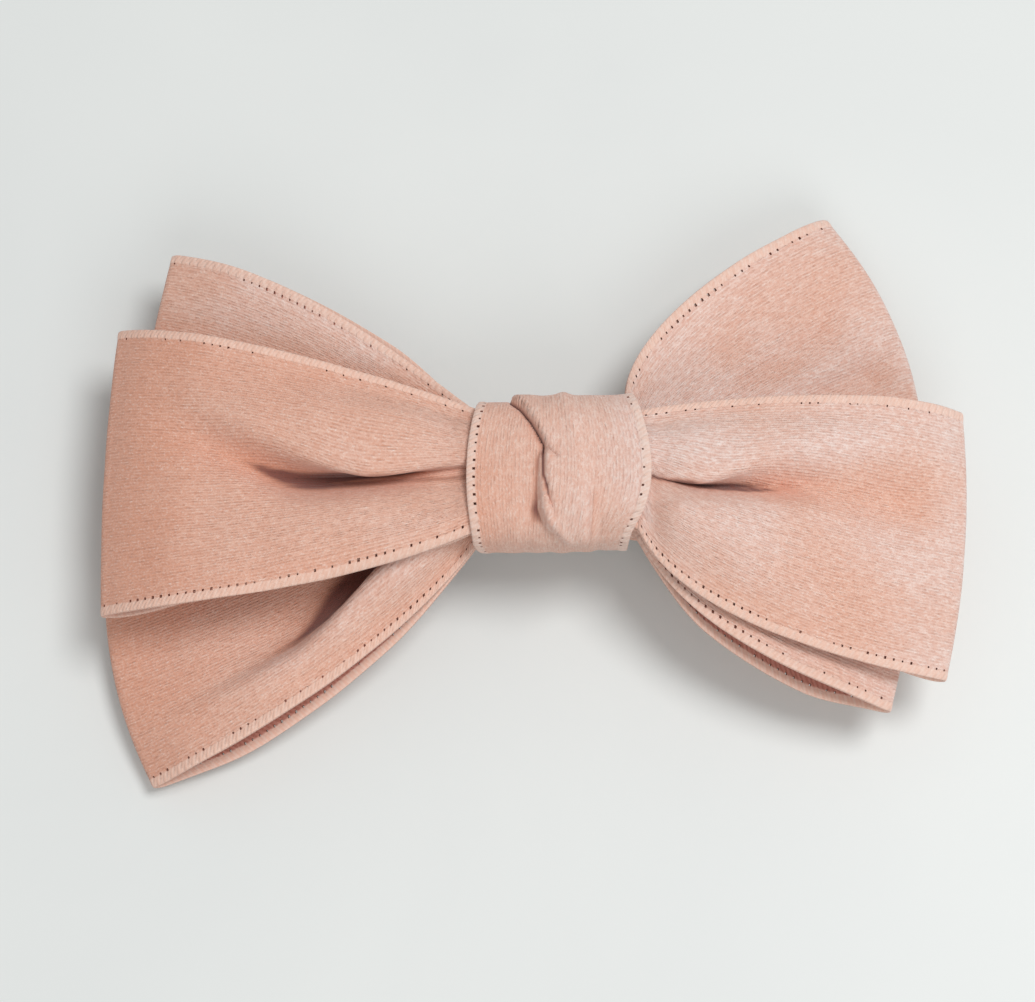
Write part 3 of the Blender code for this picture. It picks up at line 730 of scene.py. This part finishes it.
def bow_loop(left, right, back_z, across, width):
    """The cross-lines of a bow, once round: out and back along its left loop, then its right."""
    front_z = back_z + LAYER_PITCH
    stack_z = (front_z + back_z) / 2
    s = np.linspace(0, 1, LAYER_STEPS) ** 1.15

    def layer(lobe, front, order):
        v = hem_kept_wide(lobe, s[order], across, width)
        grid_s = np.repeat(s[order][:, None], len(across), 1)
        return layer_points(lobe, stack_z, front, grid_s, v)

    def crease(lobe, angles):
        v = hem_kept_wide(lobe, np.ones(len(angles)), across, width)
        return fold_points(lobe, np.repeat(angles[:, None], len(across), 1), v)

    def pinched(layer_z, shares):
        v = hem_kept_wide(left, np.zeros(len(shares)), across, width)
        return pinched_points(left, right, layer_z, np.repeat(shares[:, None], len(across), 1), v)

    out = np.arange(LAYER_STEPS)
    home = out[::-1]
    turn = np.linspace(math.pi / 2, -math.pi / 2, FOLD_STEPS)[1:-1]
    middle = np.linspace(0, 1, PINCH_STEPS)[1:-1]
    half_way = len(middle) // 2
    return np.concatenate([
        pinched(front_z, middle[::-1][half_way:]),
        layer(left, True, out),
        crease(left, turn),
        layer(left, False, home),
        pinched(back_z, middle),
        layer(right, False, out),
        crease(right, -turn),
        layer(right, True, home),
        pinched(front_z, middle[::-1][:half_way]),
    ])


def make_bow(name, left, right, back_z, seed, open_shares, painted_shade, fine_rows=44):
    across = cloth_rows(RIBBON_WIDTH, BOW_HOLES, fine_rows)
    dense = bow_loop(left, right, back_z, across, RIBBON_WIDTH)
    inner = slice(len(across) // 4, -len(across) // 4)
    points, along, length = even_columns(dense, inner)
    points = smooth_round(points, along, length, CLOTH_EASING)
    far = ease(abs(points[..., 0]), 13, 30)
    points[..., 2] += SURFACE_WAVE * far * ripple(points[..., 0], points[..., 1], seed, 11.0)
    piece = thick_cloth(
        name, points, along, across, RIBBON_WIDTH, CLOTH_LOOKS, seed, painted_sheen_and_shade(points), BOW_HOLES,
        open_shares, painted_shade=painted_shade(points) if painted_shade else 0.0,
    )
    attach(piece, "base")
    return piece, length


def rise(s, peak, tail=1.6):
    """Quickly up to 1 at the peak, then slowly down to 0 at the fold."""
    share = s / peak
    return (share * np.exp(1 - share)) ** tail * (1 - s * s)


def roll_over(v, valley, reach):
    """0 at the valley, quickly up to 1 beside it, and back to 0 at the given reach above."""
    share = np.clip((v - valley) / reach, 0, 1)
    return window(share, 0, 0.36, 0.36, 1)


def furrow(x, y, line, width):
    """1 along a bent line in the plane, falling off softly to its sides and towards its ends."""
    (x0, y0), (x1, y1), (x2, y2) = line
    from_middle = np.hypot(x - x1, y - y1) / (0.55 * math.hypot(x2 - x0, y2 - y0))
    return np.exp(-(along_line(x, y, line) / width) ** 2 - 0.7 * from_middle ** 4)


def two_ridges(v, valley, lower, upper):
    """Swells below and above a valley, each given by its height and how far it leans to its hem."""
    low = np.clip(v / valley, 0, 1)
    high = np.clip((1 - v) / (1 - valley), 0, 1)
    below = lower[0] * np.sin(math.pi * low ** lower[1])
    above = upper[0] * np.sin(math.pi * high ** upper[1])
    return np.where(v < valley, below, above)


# Each shape below gives how far a loop's front layer moves in y, and how far it is lifted

def front_left_shape(s, v):
    """A deep crease that the upper ridge rolls over, fading half way out."""
    valley = 0.500 - 0.010 * ease(s, 0, 0.3) + 0.17 * ease(s, 0.46, 0.92)
    strength = mix(1.6, 4.0, ease(s, 0.0, 0.26)) * (1 - ease(s, 0.32, 0.80))
    lift = strength * two_ridges(v, valley, (0.80, 0.90), (1.08, 2.0))
    over = (1 - ease(s, 0.30, 0.66)) * mix(1.3, 4.4, ease(s, 0.0, 0.34))
    shift = -over * roll_over(v, valley, 0.32)
    pinch = 1.0 * (1 - ease(s, 0.06, 0.26)) * bell(v, valley - 0.05, 0.05) * (v <= valley)
    floor = -5.4 * opening(s) * bell(v, valley - 0.04, 0.10) * (1 - ease(s, 0.42, 0.72))
    sag = -1.9 * bell(v, valley - 0.01, 0.085) * bell(s, 0.69, 0.14)
    brow = 0.9 * bell(v, valley + 0.12, 0.075) * bell(s, 0.66, 0.16)
    return shift + pinch, lift + floor + sag + brow


def front_right_shape(s, v):
    """Two ridges with a crease between them, then a broad soft dent near the fold."""
    valley = 0.470 + 0.165 * ease(s, 0.0, 0.60)
    strength = mix(1.7, 3.5, ease(s, 0.0, 0.24)) * (1 - ease(s, 0.28, 0.92))
    lift = strength * two_ridges(v, valley, (1.20, 1.35), (0.90, 1.8))
    over = (1 - ease(s, 0.22, 0.54)) * mix(1.2, 3.0, ease(s, 0.0, 0.28))
    shift = -over * roll_over(v, valley, 0.30)
    pinch = 0.9 * (1 - ease(s, 0.1, 0.3)) * bell(v, valley - 0.05, 0.05) * (v <= valley)
    floor = -3.8 * opening(s) * bell(v, valley - 0.02, 0.08) * (1 - ease(s, 0.44, 0.72))
    dent = -2.9 * bell(v, 0.63, 0.15) * bell(s, 0.80, 0.14)
    brow = 0.8 * bell(v, 0.82, 0.07) * bell(s, 0.74, 0.2)
    hollow = -0.8 * bell(v, 0.22, 0.12) * bell(s, 0.10, 0.07)
    return shift + pinch, lift + floor + dent + brow + hollow


def back_left_shape(s, v):
    """The lower ridge, which climbs steeply out of the crease behind the front bow's hem."""
    valley = 0.40 - 0.10 * ease(s, 0.0, 0.25) - 0.08 * ease(s, 0.3, 0.6)
    low = np.clip(v / valley, 0, 1)
    strength = 6.4 * rise(s, 0.26, 1.2)
    lift = strength * np.sin(math.pi * low ** 2.3) * (v < valley)
    shift = 2.7 * bell(low, 0.80, 0.16) * bell(s, 0.25, 0.17)
    dent = -1.8 * bell(v, valley + 0.08, 0.12) * bell(s, 0.50, 0.22)
    return shift, lift + dent


# Soft furrows of the upper right loop, rising away from the knot
FURROWS = (
    (((13.0, 11.5), (19.0, 16.0), (25.0, 21.0)), 3.4, -1.3),
    (((24.0, 12.5), (31.0, 18.0), (40.0, 23.5)), 2.9, -1.2),
    (((37.0, 13.5), (42.5, 17.0), (48.0, 20.0)), 3.2, -1.5),
    (((19.0, 12.0), (25.5, 17.8), (36.0, 25.0)), 2.8, 0.5),
    (((31.0, 13.5), (37.5, 19.0), (46.5, 25.5)), 2.8, 0.6),
)


def back_right_shape(s, v):
    x, y = np.moveaxis(lobe_flat(BACK_RIGHT, s, v), -1, 0)
    lift = sum(depth * furrow(x, y, line, width) for line, width, depth in FURROWS)
    hollow = -1.2 * bell(v, 0.72, 0.2) * bell(s, 0.72, 0.16)
    return 0.0 * s, (lift + hollow) * ease(s, 0.04, 0.2) * (1 - ease(s, 0.88, 1.0))


def middle_right_shape(s, v):
    return 0.0 * s, 0.9 * rise(s, 0.3) * np.sin(math.pi * np.clip(v / 0.3, 0, 1))


BACK_LEFT = Lobe(
    lower=((-10.5, -8.4), (-20.0, -20.0), (-37.5, -34.0), (-55.2, -40.2)),
    upper=((-11.0, 8.4), (-27.0, 8.0), (-45.0, 3.5), (-61.5, -1.0)),
    fold_z=(3.0, 6.8), fall=0.82, bulge=3.5, puff=(4.0, 0.1), back_puff=(1.0, 0.2),
    front=back_left_shape, back_reach=(1.0, 0.0),
)
BACK_RIGHT = Lobe(
    lower=((11.0, -8.4), (26.0, -7.0), (40.0, 0.0), (51.5, 4.0)),
    upper=((10.4, 8.4), (5.5, 18.0), (19.8, 30.3), (38.5, 41.9)),
    fold_z=(6.2, 7.0), fall=1.0, bulge=3.6, puff=(0.1, 4.0), back_puff=(0.2, 1.0),
    front=back_right_shape,
)
MIDDLE_LEFT = Lobe(
    lower=((-11.0, -8.4), (-23.0, -6.5), (-44.0, -7.0), (-58.8, -4.5)),
    upper=((-10.5, 8.4), (-21.0, 17.5), (-36.0, 28.8), (-54.0, 34.6)),
    fold_z=(11.0, 12.0), fall=1.1, bulge=1.0, puff=(0.1, 3.0), back_puff=(0.1, 0.2),
    back_reach=(0.0, 1.5),
)
MIDDLE_RIGHT = Lobe(
    lower=((10.5, -8.4), (17.0, -21.0), (31.0, -27.5), (44.7, -31.2)),
    upper=((11.0, 8.4), (26.0, 10.0), (40.0, 9.5), (51.5, 8.5)),
    fold_z=(10.7, 11.0), fall=1.12, bulge=1.0, puff=(2.8, 0.1), back_puff=(0.8, 0.1),
    front=middle_right_shape, back_reach=(1.3, 0.0),
)
FRONT_LEFT = Lobe(
    lower=((-10.8, -8.4), (-25.0, -14.5), (-44.0, -19.3), (-61.7, -18.8)),
    upper=((-10.8, 8.4), (-25.5, 14.8), (-44.0, 18.0), (-60.7, 22.0)),
    fold_z=(14.5, 15.5), fall=1.18, bulge=0.8, puff=(4.5, 4.5), back_puff=(0.1, 0.1),
    front=front_left_shape, back_reach=(-2.0, 0.0),
)
FRONT_RIGHT = Lobe(
    lower=((10.9, -8.3), (14.2, -17.8), (34.0, -26.0), (52.1, -27.4)),
    upper=((10.8, 8.4), (23.5, 11.3), (42.0, 10.6), (55.5, 10.0)),
    fold_z=(13.0, 15.5), fall=1.18, bulge=1.5, puff=(2.0, 4.5), back_puff=(-0.9, 0.1),
    front=front_right_shape, back_reach=(-2.0, 0.0),
)


# Where each overhanging fold's edge runs, as (x, y) outwards from the wrap
LOWER_RIDGE = ((-9.0, -7.6), (-12.5, -8.1), (-17.5, -9.5), (-23.0, -11.7), (-29.8, -16.9), (-36.0, -23.0))
LEFT_LIP = (
    (-11.0, -0.6), (-12.7, -0.8), (-22.9, -1.1), (-29.6, -1.6), (-36.5, -1.6), (-41.3, -0.8), (-46.9, 1.7),
)
RIGHT_LIP = ((11.0, -0.8), (12.2, -0.9), (19.2, -2.0), (26.1, -2.2), (31.6, -1.5), (47.4, -2.7))


def behind_lower_ridge(points):
    """Painted shade on the cloth hidden from the light above the back bow's lower ridge."""
    x, y = points[..., 0], points[..., 1]
    above = along_line(x, y, LOWER_RIDGE)
    return window(above, -0.3, 0.6, 2.0, 6.5) * window(-x, 9, 14, 28, 37)


def under_front_ridges(points):
    """Painted shade in the deep part of the front bow's two creases, just under the lips that overhang them.
    """
    x, y = points[..., 0], points[..., 1]
    left = -along_line(x, y, LEFT_LIP)
    right = along_line(x, y, RIGHT_LIP)
    left_dark = window(left, -0.1, 0.5, 0.8, 1.9) * window(-x, 10, 12, 31, 44)
    right_dark = window(right, -0.1, 0.4, 0.5, 1.3) * window(x, 10, 12, 24, 36)
    return 0.5 * left_dark + 0.75 * right_dark


# node, left loop, right loop, layers of ribbon beneath it, seed, how open its holes are, painted shade on
# hidden cloth
for node_name, left, right, layers_below, seed, open_shares, painted_shade in (
    ("back_bow", BACK_LEFT, BACK_RIGHT, 0, 11, (0.45, 0.5), behind_lower_ridge),
    ("middle_bow", MIDDLE_LEFT, MIDDLE_RIGHT, 2, 23, (0.45, 0.12), None),
    ("front_bow", FRONT_LEFT, FRONT_RIGHT, 4, 37, (0.55, 0.15), under_front_ridges),
):
    back_z = FIRST_LAYER_Z + layers_below * LAYER_PITCH
    bow, length = make_bow(node_name + "_ribbon", left, right, back_z, seed, open_shares, painted_shade)
    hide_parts(node_name)


# ---------------- the knotted wrap

WRAP_HALF_WIDTH = 9.7
WRAP_LEVELS = (11.6, 18.0, 24.75)
WRAP_SQUARENESS = (3.0, 2.6)
WRAP_HEMS = (-12.5, 12.5)           # at the middle of the front
WRAP_HEMS_BEHIND = (-9.6, 9.4)


def step_across(distance, width):
    return ease(distance, -width, width)


# Folds of the knot, as (x, y) down the front of the wrap; each line runs from the top downwards,
# so its left-hand side is towards +X
UPPER_FOLD = ((-6.7, 13.0), (-6.3, 9.2), (-5.0, 8.0), (-3.5, 5.8), (-2.5, 4.0), (-1.8, 2.6), (-1.8, 1.5),
              (-1.8, -1.9), (-1.4, -4.7), (-0.5, -6.8))
ROLLED_RIM = ((-2.3, 3.0), (-2.5, 0.0), (-2.7, -3.1), (-2.6, -6.2), (-1.8, -8.2), (0.3, -9.6), (2.1, -11.0),
              (3.4, -12.6))
STRIP_EDGE = ((0.6, 13.0), (1.2, 8.9), (2.5, 4.6), (3.7, 0.1), (4.0, -5.2), (4.0, -7.4), (3.8, -10.1),
              (3.4, -13.0))
SHORT_TUCK = ((-2.0, 2.6), (-0.9, 1.2), (0.0, 0.4))


def knot_height(x, y):
    """How far the folds of the knot stand out from the plain wrap."""
    fold = -along_line(x, y, UPPER_FOLD)
    rim = -along_line(x, y, ROLLED_RIM)
    edge = -along_line(x, y, STRIP_EDGE)
    tuck = abs(along_line(x, y, SHORT_TUCK))
    upper = ease(y, 0.4, 2.4)
    entered = upper * step_across(fold - 0.16, 0.22) + (1 - upper) * step_across(rim - 0.45, 0.62)
    softness = mix(0.35, 2.4, ease(y, -8.0, 6.0))
    left_behind = ease(edge / softness, -1.0, 1.0)
    right_level = 0.15 + 1.15 * ease(y, -9.0, 8.0)
    strip_level = 1.55 + 0.25 * bell(y, 1.0, 6.0) - 0.4 * ease(-y, 7.0, 12.0) - 0.35 * ease(y, 6.0, 10.0)
    height = entered * mix(strip_level, right_level, left_behind)
    crease = bell(fold, 0.0, 0.34) * ease(y, -7.4, -4.5) * (1 - ease(y, 1.2, 2.6))
    height -= 0.95 * crease
    height -= 0.55 * (bell(fold, -0.20, 0.20) * ease(y, 1.2, 2.6))
    height -= 0.55 * bell(tuck, 0.0, 0.20) * ease(y, -0.2, 0.8)
    rim_roll = bell(rim, 0.75, 0.5) * (1 - ease(y, 0.5, 2.0)) * ease(y, -10.5, -7.0)
    height += 0.35 * rim_roll
    height -= 0.45 * bell(x, -3.6, 1.3) * bell(y, -7.6, 2.4)
    height += 0.35 * bell(edge, -0.5, 0.8) * ease(y, -2.0, 3.0)
    height -= 0.35 * bell(x, -2.2, 1.2) * bell(y, 8.8, 1.4)
    height -= 0.5 * ease(x, 4.6, 6.0) * ease(-y, 5.0, 9.5)
    return height


def wrap_section(steps=2400):
    """The length round the wrap, then each column's distance, y, z and how far it faces up."""
    angle = np.linspace(-math.pi / 2, 1.5 * math.pi, steps, endpoint=False)
    y, z = squared_ring(angle, WRAP_HALF_WIDTH, WRAP_LEVELS, WRAP_SQUARENESS, THICKNESS / 2)
    step = np.hypot(np.diff(np.append(y, y[0])), np.diff(np.append(z, z[0])))
    reach = np.concatenate([[0.0], np.cumsum(step)])
    columns = cloth_columns(reach[-1])
    stations = (np.interp(columns, reach, np.append(part, part[0])) for part in (y, z, np.sin(angle)))
    return reach[-1], columns, *stations


def wrap_sideways(y, upness, across):
    """How far to the side each point of the wrap lies, with its hems kept at their true width."""
    left_hem = WRAP_HEMS[0] + 0.0125 * (y + 1.6) ** 2
    right_hem = WRAP_HEMS[1] - np.where(y > -0.9, 0.0227, 0.0357) * (y + 0.9) ** 2
    behind = ease(-upness, -0.25, 0.6)
    left_hem = mix(left_hem, WRAP_HEMS_BEHIND[0], behind)[:, None]
    right_hem = mix(right_hem, WRAP_HEMS_BEHIND[1], behind)[:, None]
    inner_span = right_hem - left_hem - 2 * HEM_KEPT
    inner_width = WRAP_RIBBON_WIDTH - 2 * HEM_KEPT
    x_low = left_hem + across
    x_high = right_hem - (WRAP_RIBBON_WIDTH - across)
    x_middle = left_hem + HEM_KEPT + inner_span * (across - HEM_KEPT) / inner_width
    x = np.where(across > WRAP_RIBBON_WIDTH - HEM_KEPT, x_high, x_middle)
    return np.where(across < HEM_KEPT, x_low, x)


def make_wrap(fine_rows=84):
    length, columns, y, z, upness = wrap_section()
    across = cloth_rows(WRAP_RIBBON_WIDTH, WRAP_HOLES, fine_rows)
    x = wrap_sideways(y, upness, across)
    drawn_in = 0.55 * ease(x, 4.2, 6.0) * (ease(-y, 5.0, 9.5) * ease(upness, -0.7, -0.1))[:, None]
    y = y[:, None] + drawn_in
    z = np.repeat(z[:, None], len(across), 1)
    base = np.stack([x, y, z], -1)
    normal = surface_normals(base)
    turned = normal[len(columns) // 2, len(across) // 2, 2] < 0
    front = ease(upness, 0.02, 0.55)[:, None]
    height = knot_height(x, y) * front
    height = height + 0.10 * ripple(x, y, 5, 7.0) * ease(abs(x), 0, 3)
    pucker = 0.10 * ripple(x * 2.0, z * 0.5, 8, 6.0) * bell(upness, -0.2, 0.5)[:, None]
    height = height + pucker * (1 - ease(abs(x), 8.0, 9.5))
    points = base + (-normal if turned else normal) * height[..., None]
    # painted light on the wrap: paler to the right and on its raised folds
    painted_light = np.clip(0.44 + 0.02 * x + 0.10 * height, 0, 1)
    # painted shade just under the knot's upper fold
    fold = -along_line(x, y, UPPER_FOLD)
    painted_shade = 0.95 * bell(fold, -0.12, 0.24) * ease(y, -6.5, -3.5) * front
    piece = thick_cloth(
        "knot_wrap_ribbon", points, columns, across, WRAP_RIBBON_WIDTH, WRAP_LOOKS, 53, painted_light, WRAP_HOLES,
        (0.42, 0.42), turned, (3.0, 1.0), painted_shade,
    )
    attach(piece, "base")
    return piece, length


knot_wrap, wrap_length = make_wrap()
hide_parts("knot_wrap")


# ---------------- felt pad, thread and clip

FELT_THICKNESS = 0.6
FELT_CORNER = 3.5
FELT_END_ROUNDING = 0.3
FELT_SIDE_WANDER = 0.12
THREAD_RADIUS = 0.2
THREAD_TURNS = 3
THREAD_PITCH = 0.8
THREAD_HALF_WIDTH = 8.5
THREAD_LEVELS = (14.85, 19.6, 24.25)
THREAD_SQUARENESS = (3.0, 9.0)
PLY_TWIST = 1.1
PLY_DEPTH = 0.16                    # as a share of the thread's radius


def make_tube(name, rings, look):
    """A capped tube through closed rings of points, given in mm as (ring, place in the ring, 3)."""
    count, rows = rings.shape[:2]
    i, j = np.meshgrid(np.arange(count - 1), np.arange(rows), indexing="ij")
    k = (j + 1) % rows
    quads = np.stack([i * rows + j, i * rows + k, (i + 1) * rows + k, (i + 1) * rows + j], -1)
    first_end = list(range(rows))[::-1]
    last_end = list(range((count - 1) * rows, count * rows))
    mesh = bpy.data.meshes.new(name)
    vertices = to_frame(rings).reshape(-1, 3)
    mesh.from_pydata(vertices.tolist(), [], quads.reshape(-1, 4).tolist() + [first_end, last_end])
    mesh.shade_smooth()
    mesh.materials.append(look)
    return put_in_scene(name, mesh)


def felt_side(x, half_length, half_width, seed):
    """Half the strip's width at x, with rounded corners and a cut edge that wanders a little."""
    corner = ease(abs(x), half_length - FELT_CORNER, half_length)
    wander = FELT_SIDE_WANDER * (1 + ripple(x, 0 * x, seed, 4.0)) / 2
    return half_width * (1 - 0.34 * corner ** 1.5) - wander


def make_felt_strip():
    """A strip of felt glued along the arched plate: soft rounded edges and a matted, uneven face."""
    low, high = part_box("felt_pad")
    half_length = (high.x - low.x) / 2 / MM
    half_width = (high.y - low.y) / 2 / MM
    seat, crown = low.z / MM, high.z / MM
    rise_of_arch = crown - seat - FELT_THICKNESS
    radius = (half_length ** 2 + rise_of_arch ** 2) / (2 * rise_of_arch)
    along = np.linspace(-1, 1, 181)
    section = np.linspace(0, math.tau, 65)[:-1]
    t, a = np.meshgrid(along, section, indexing="ij")
    x = half_length * np.sign(t) * (1 - (1 - abs(t)) ** 1.12)
    near_end = ((abs(x) - half_length + FELT_END_ROUNDING) / FELT_END_ROUNDING).clip(0, 1)
    half = FELT_THICKNESS / 2 * np.sqrt(np.clip(1 - near_end ** 2, 0.02, 1))
    far_side, near_side = (felt_side(x, half_length, half_width, seed) for seed in (71, 72))
    y = np.where(np.cos(a) > 0, far_side, near_side) * signed_power(np.cos(a), 0.22)
    matted = 0.035 * ripple(x, y, 73, 1.1) + 0.03 * ripple(x, y, 74, 3.0)
    sunk = np.where(np.sin(a) > 0, 0.05 - matted, 0.0) * abs(np.sin(a))
    lift = half * signed_power(np.sin(a), 0.5) - sunk
    arch = seat + FELT_THICKNESS / 2 + rise_of_arch - (radius - np.sqrt(radius ** 2 - x ** 2))
    piece = make_tube("felt_strip", np.stack([x, y, arch + lift], -1), FELT)
    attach(piece, "base")
    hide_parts("felt_pad")


def make_thread():
    """The sewing thread wound round the pinched ribbons, spun from two plies."""
    turn = np.linspace(0, THREAD_TURNS, THREAD_TURNS * 120)
    y, z = squared_ring(math.tau * turn, THREAD_HALF_WIDTH, THREAD_LEVELS, THREAD_SQUARENESS)
    path = np.stack([(turn - THREAD_TURNS / 2) * THREAD_PITCH, y, z], -1)
    travelled = np.concatenate([[0.0], np.cumsum(np.linalg.norm(np.diff(path, axis=0), axis=1))])
    even = np.linspace(0, travelled[-1], 900)
    path = np.stack([np.interp(even, travelled, path[:, k]) for k in range(3)], -1)
    run = np.gradient(path, axis=0)
    run /= np.linalg.norm(run, axis=1, keepdims=True)
    across = np.tile([1.0, 0.0, 0.0], (len(path), 1))
    across -= (across * run).sum(1, keepdims=True) * run
    across /= np.linalg.norm(across, axis=1, keepdims=True)
    upward = np.cross(run, across)
    round_angle = np.linspace(0, math.tau, 13)[:-1]
    twist = even[:, None] * math.tau / PLY_TWIST
    ply = THREAD_RADIUS * (1 - PLY_DEPTH + PLY_DEPTH * abs(np.cos(round_angle[None, :] - twist)))
    outward = np.cos(round_angle)[None, :, None] * across[:, None]
    outward = outward + np.sin(round_angle)[None, :, None] * upward[:, None]
    piece = make_tube("sewing_thread_winding", path[:, None] + ply[..., None] * outward, THREAD)
    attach(piece, "base")
    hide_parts("cinch_thread")


NICKEL = metal_material("nickel_plate", (0.66, 0.64, 0.60), 0.24)
SPRING = metal_material("spring_steel", (0.60, 0.59, 0.57), 0.30)
PIN = metal_material("pin_steel", (0.70, 0.69, 0.66), 0.18, (6.0, 6.0, 6.0))
THREAD = thread_material("sewing_thread", (0.74, 0.44, 0.36))
FELT = felt_material("wool_felt", (0.62, 0.34, 0.28))
for node_name, look in (
    ("base_plate", NICKEL), ("clasp_arm", NICKEL), ("catch_bracket", NICKEL),
    ("catch_tab_near", SPRING), ("catch_tab_far", SPRING), ("tension_strip", SPRING),
    ("hinge_pin", PIN), ("strip_rivet", PIN), ("catch_rivet", PIN),
):
    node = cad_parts[node_name]
    node.data.materials.clear()
    node.data.materials.append(look)
make_felt_strip()
make_thread()


# ---------------- floor, light and camera

TABLE_HALF_SIZE = 3
TABLE_LIGHT = (0.80, 0.83, 0.822, 1.0)
TABLE_DARK = (0.765, 0.795, 0.792, 1.0)
LIT_POINT = (0, 0, 0.01)
DAYLIGHT = (1.0, 0.995, 0.985, 1.0)
DAYLIGHT_STRENGTH = 0.40
CAMERA_ELEVATION = 74.0
CAMERA_LENS = 102.96
CAMERA_PLACE = (-5.571, -115.149, 408.092)


def make_floor():
    n = Nodes("pale_table")
    place = n.add("ShaderNodeTexCoord").outputs["Object"]
    cloud = n.noise(place, 9.0, 4.0, 0.55, 0.6)
    base = n.blend(n.smooth(cloud, 0.3, 0.75), TABLE_LIGHT, TABLE_DARK)
    mesh = bpy.data.meshes.new("table")
    size = TABLE_HALF_SIZE
    corners = [(-size, -size, 0), (size, -size, 0), (size, size, 0), (-size, size, 0)]
    mesh.from_pydata(corners, [], [(0, 1, 2, 3)])
    mesh.materials.append(n.finish(base, 0.42, None, 0.3))
    put_in_scene("table", mesh)


def make_light(name, place, size, power, colour):
    data = bpy.data.lights.new(name, "AREA")
    data.shape = "DISK"
    data.size = size
    data.energy = power
    data.color = colour
    lamp = put_in_scene(name, data)
    lamp.location = place
    lamp.rotation_euler = (Vector(LIT_POINT) - Vector(place)).to_track_quat("-Z", "Y").to_euler()


make_floor()
make_light("key", (0.29, 0.10, 0.87), 0.36, 4.15, (1.0, 0.99, 0.98))
make_light("fill", (0.15, -0.60, 0.62), 0.50, 1.6, (1.0, 0.995, 0.99))
world = bpy.data.worlds.new("studio")
bpy.context.scene.world = world
world.use_nodes = True
world.node_tree.nodes["Background"].inputs["Color"].default_value = DAYLIGHT
world.node_tree.nodes["Background"].inputs["Strength"].default_value = DAYLIGHT_STRENGTH
bpy.context.scene.view_settings.view_transform = "Standard"

camera_data = bpy.data.cameras.new("camera")
camera_data.lens = CAMERA_LENS
camera_data.sensor_width = 36.0
camera_data.clip_start = 0.01
camera = put_in_scene("camera", camera_data)
camera.location = to_frame(CAMERA_PLACE).tolist()
camera.rotation_euler = (math.radians(90 - CAMERA_ELEVATION), 0, 0)
bpy.context.scene.camera = camera
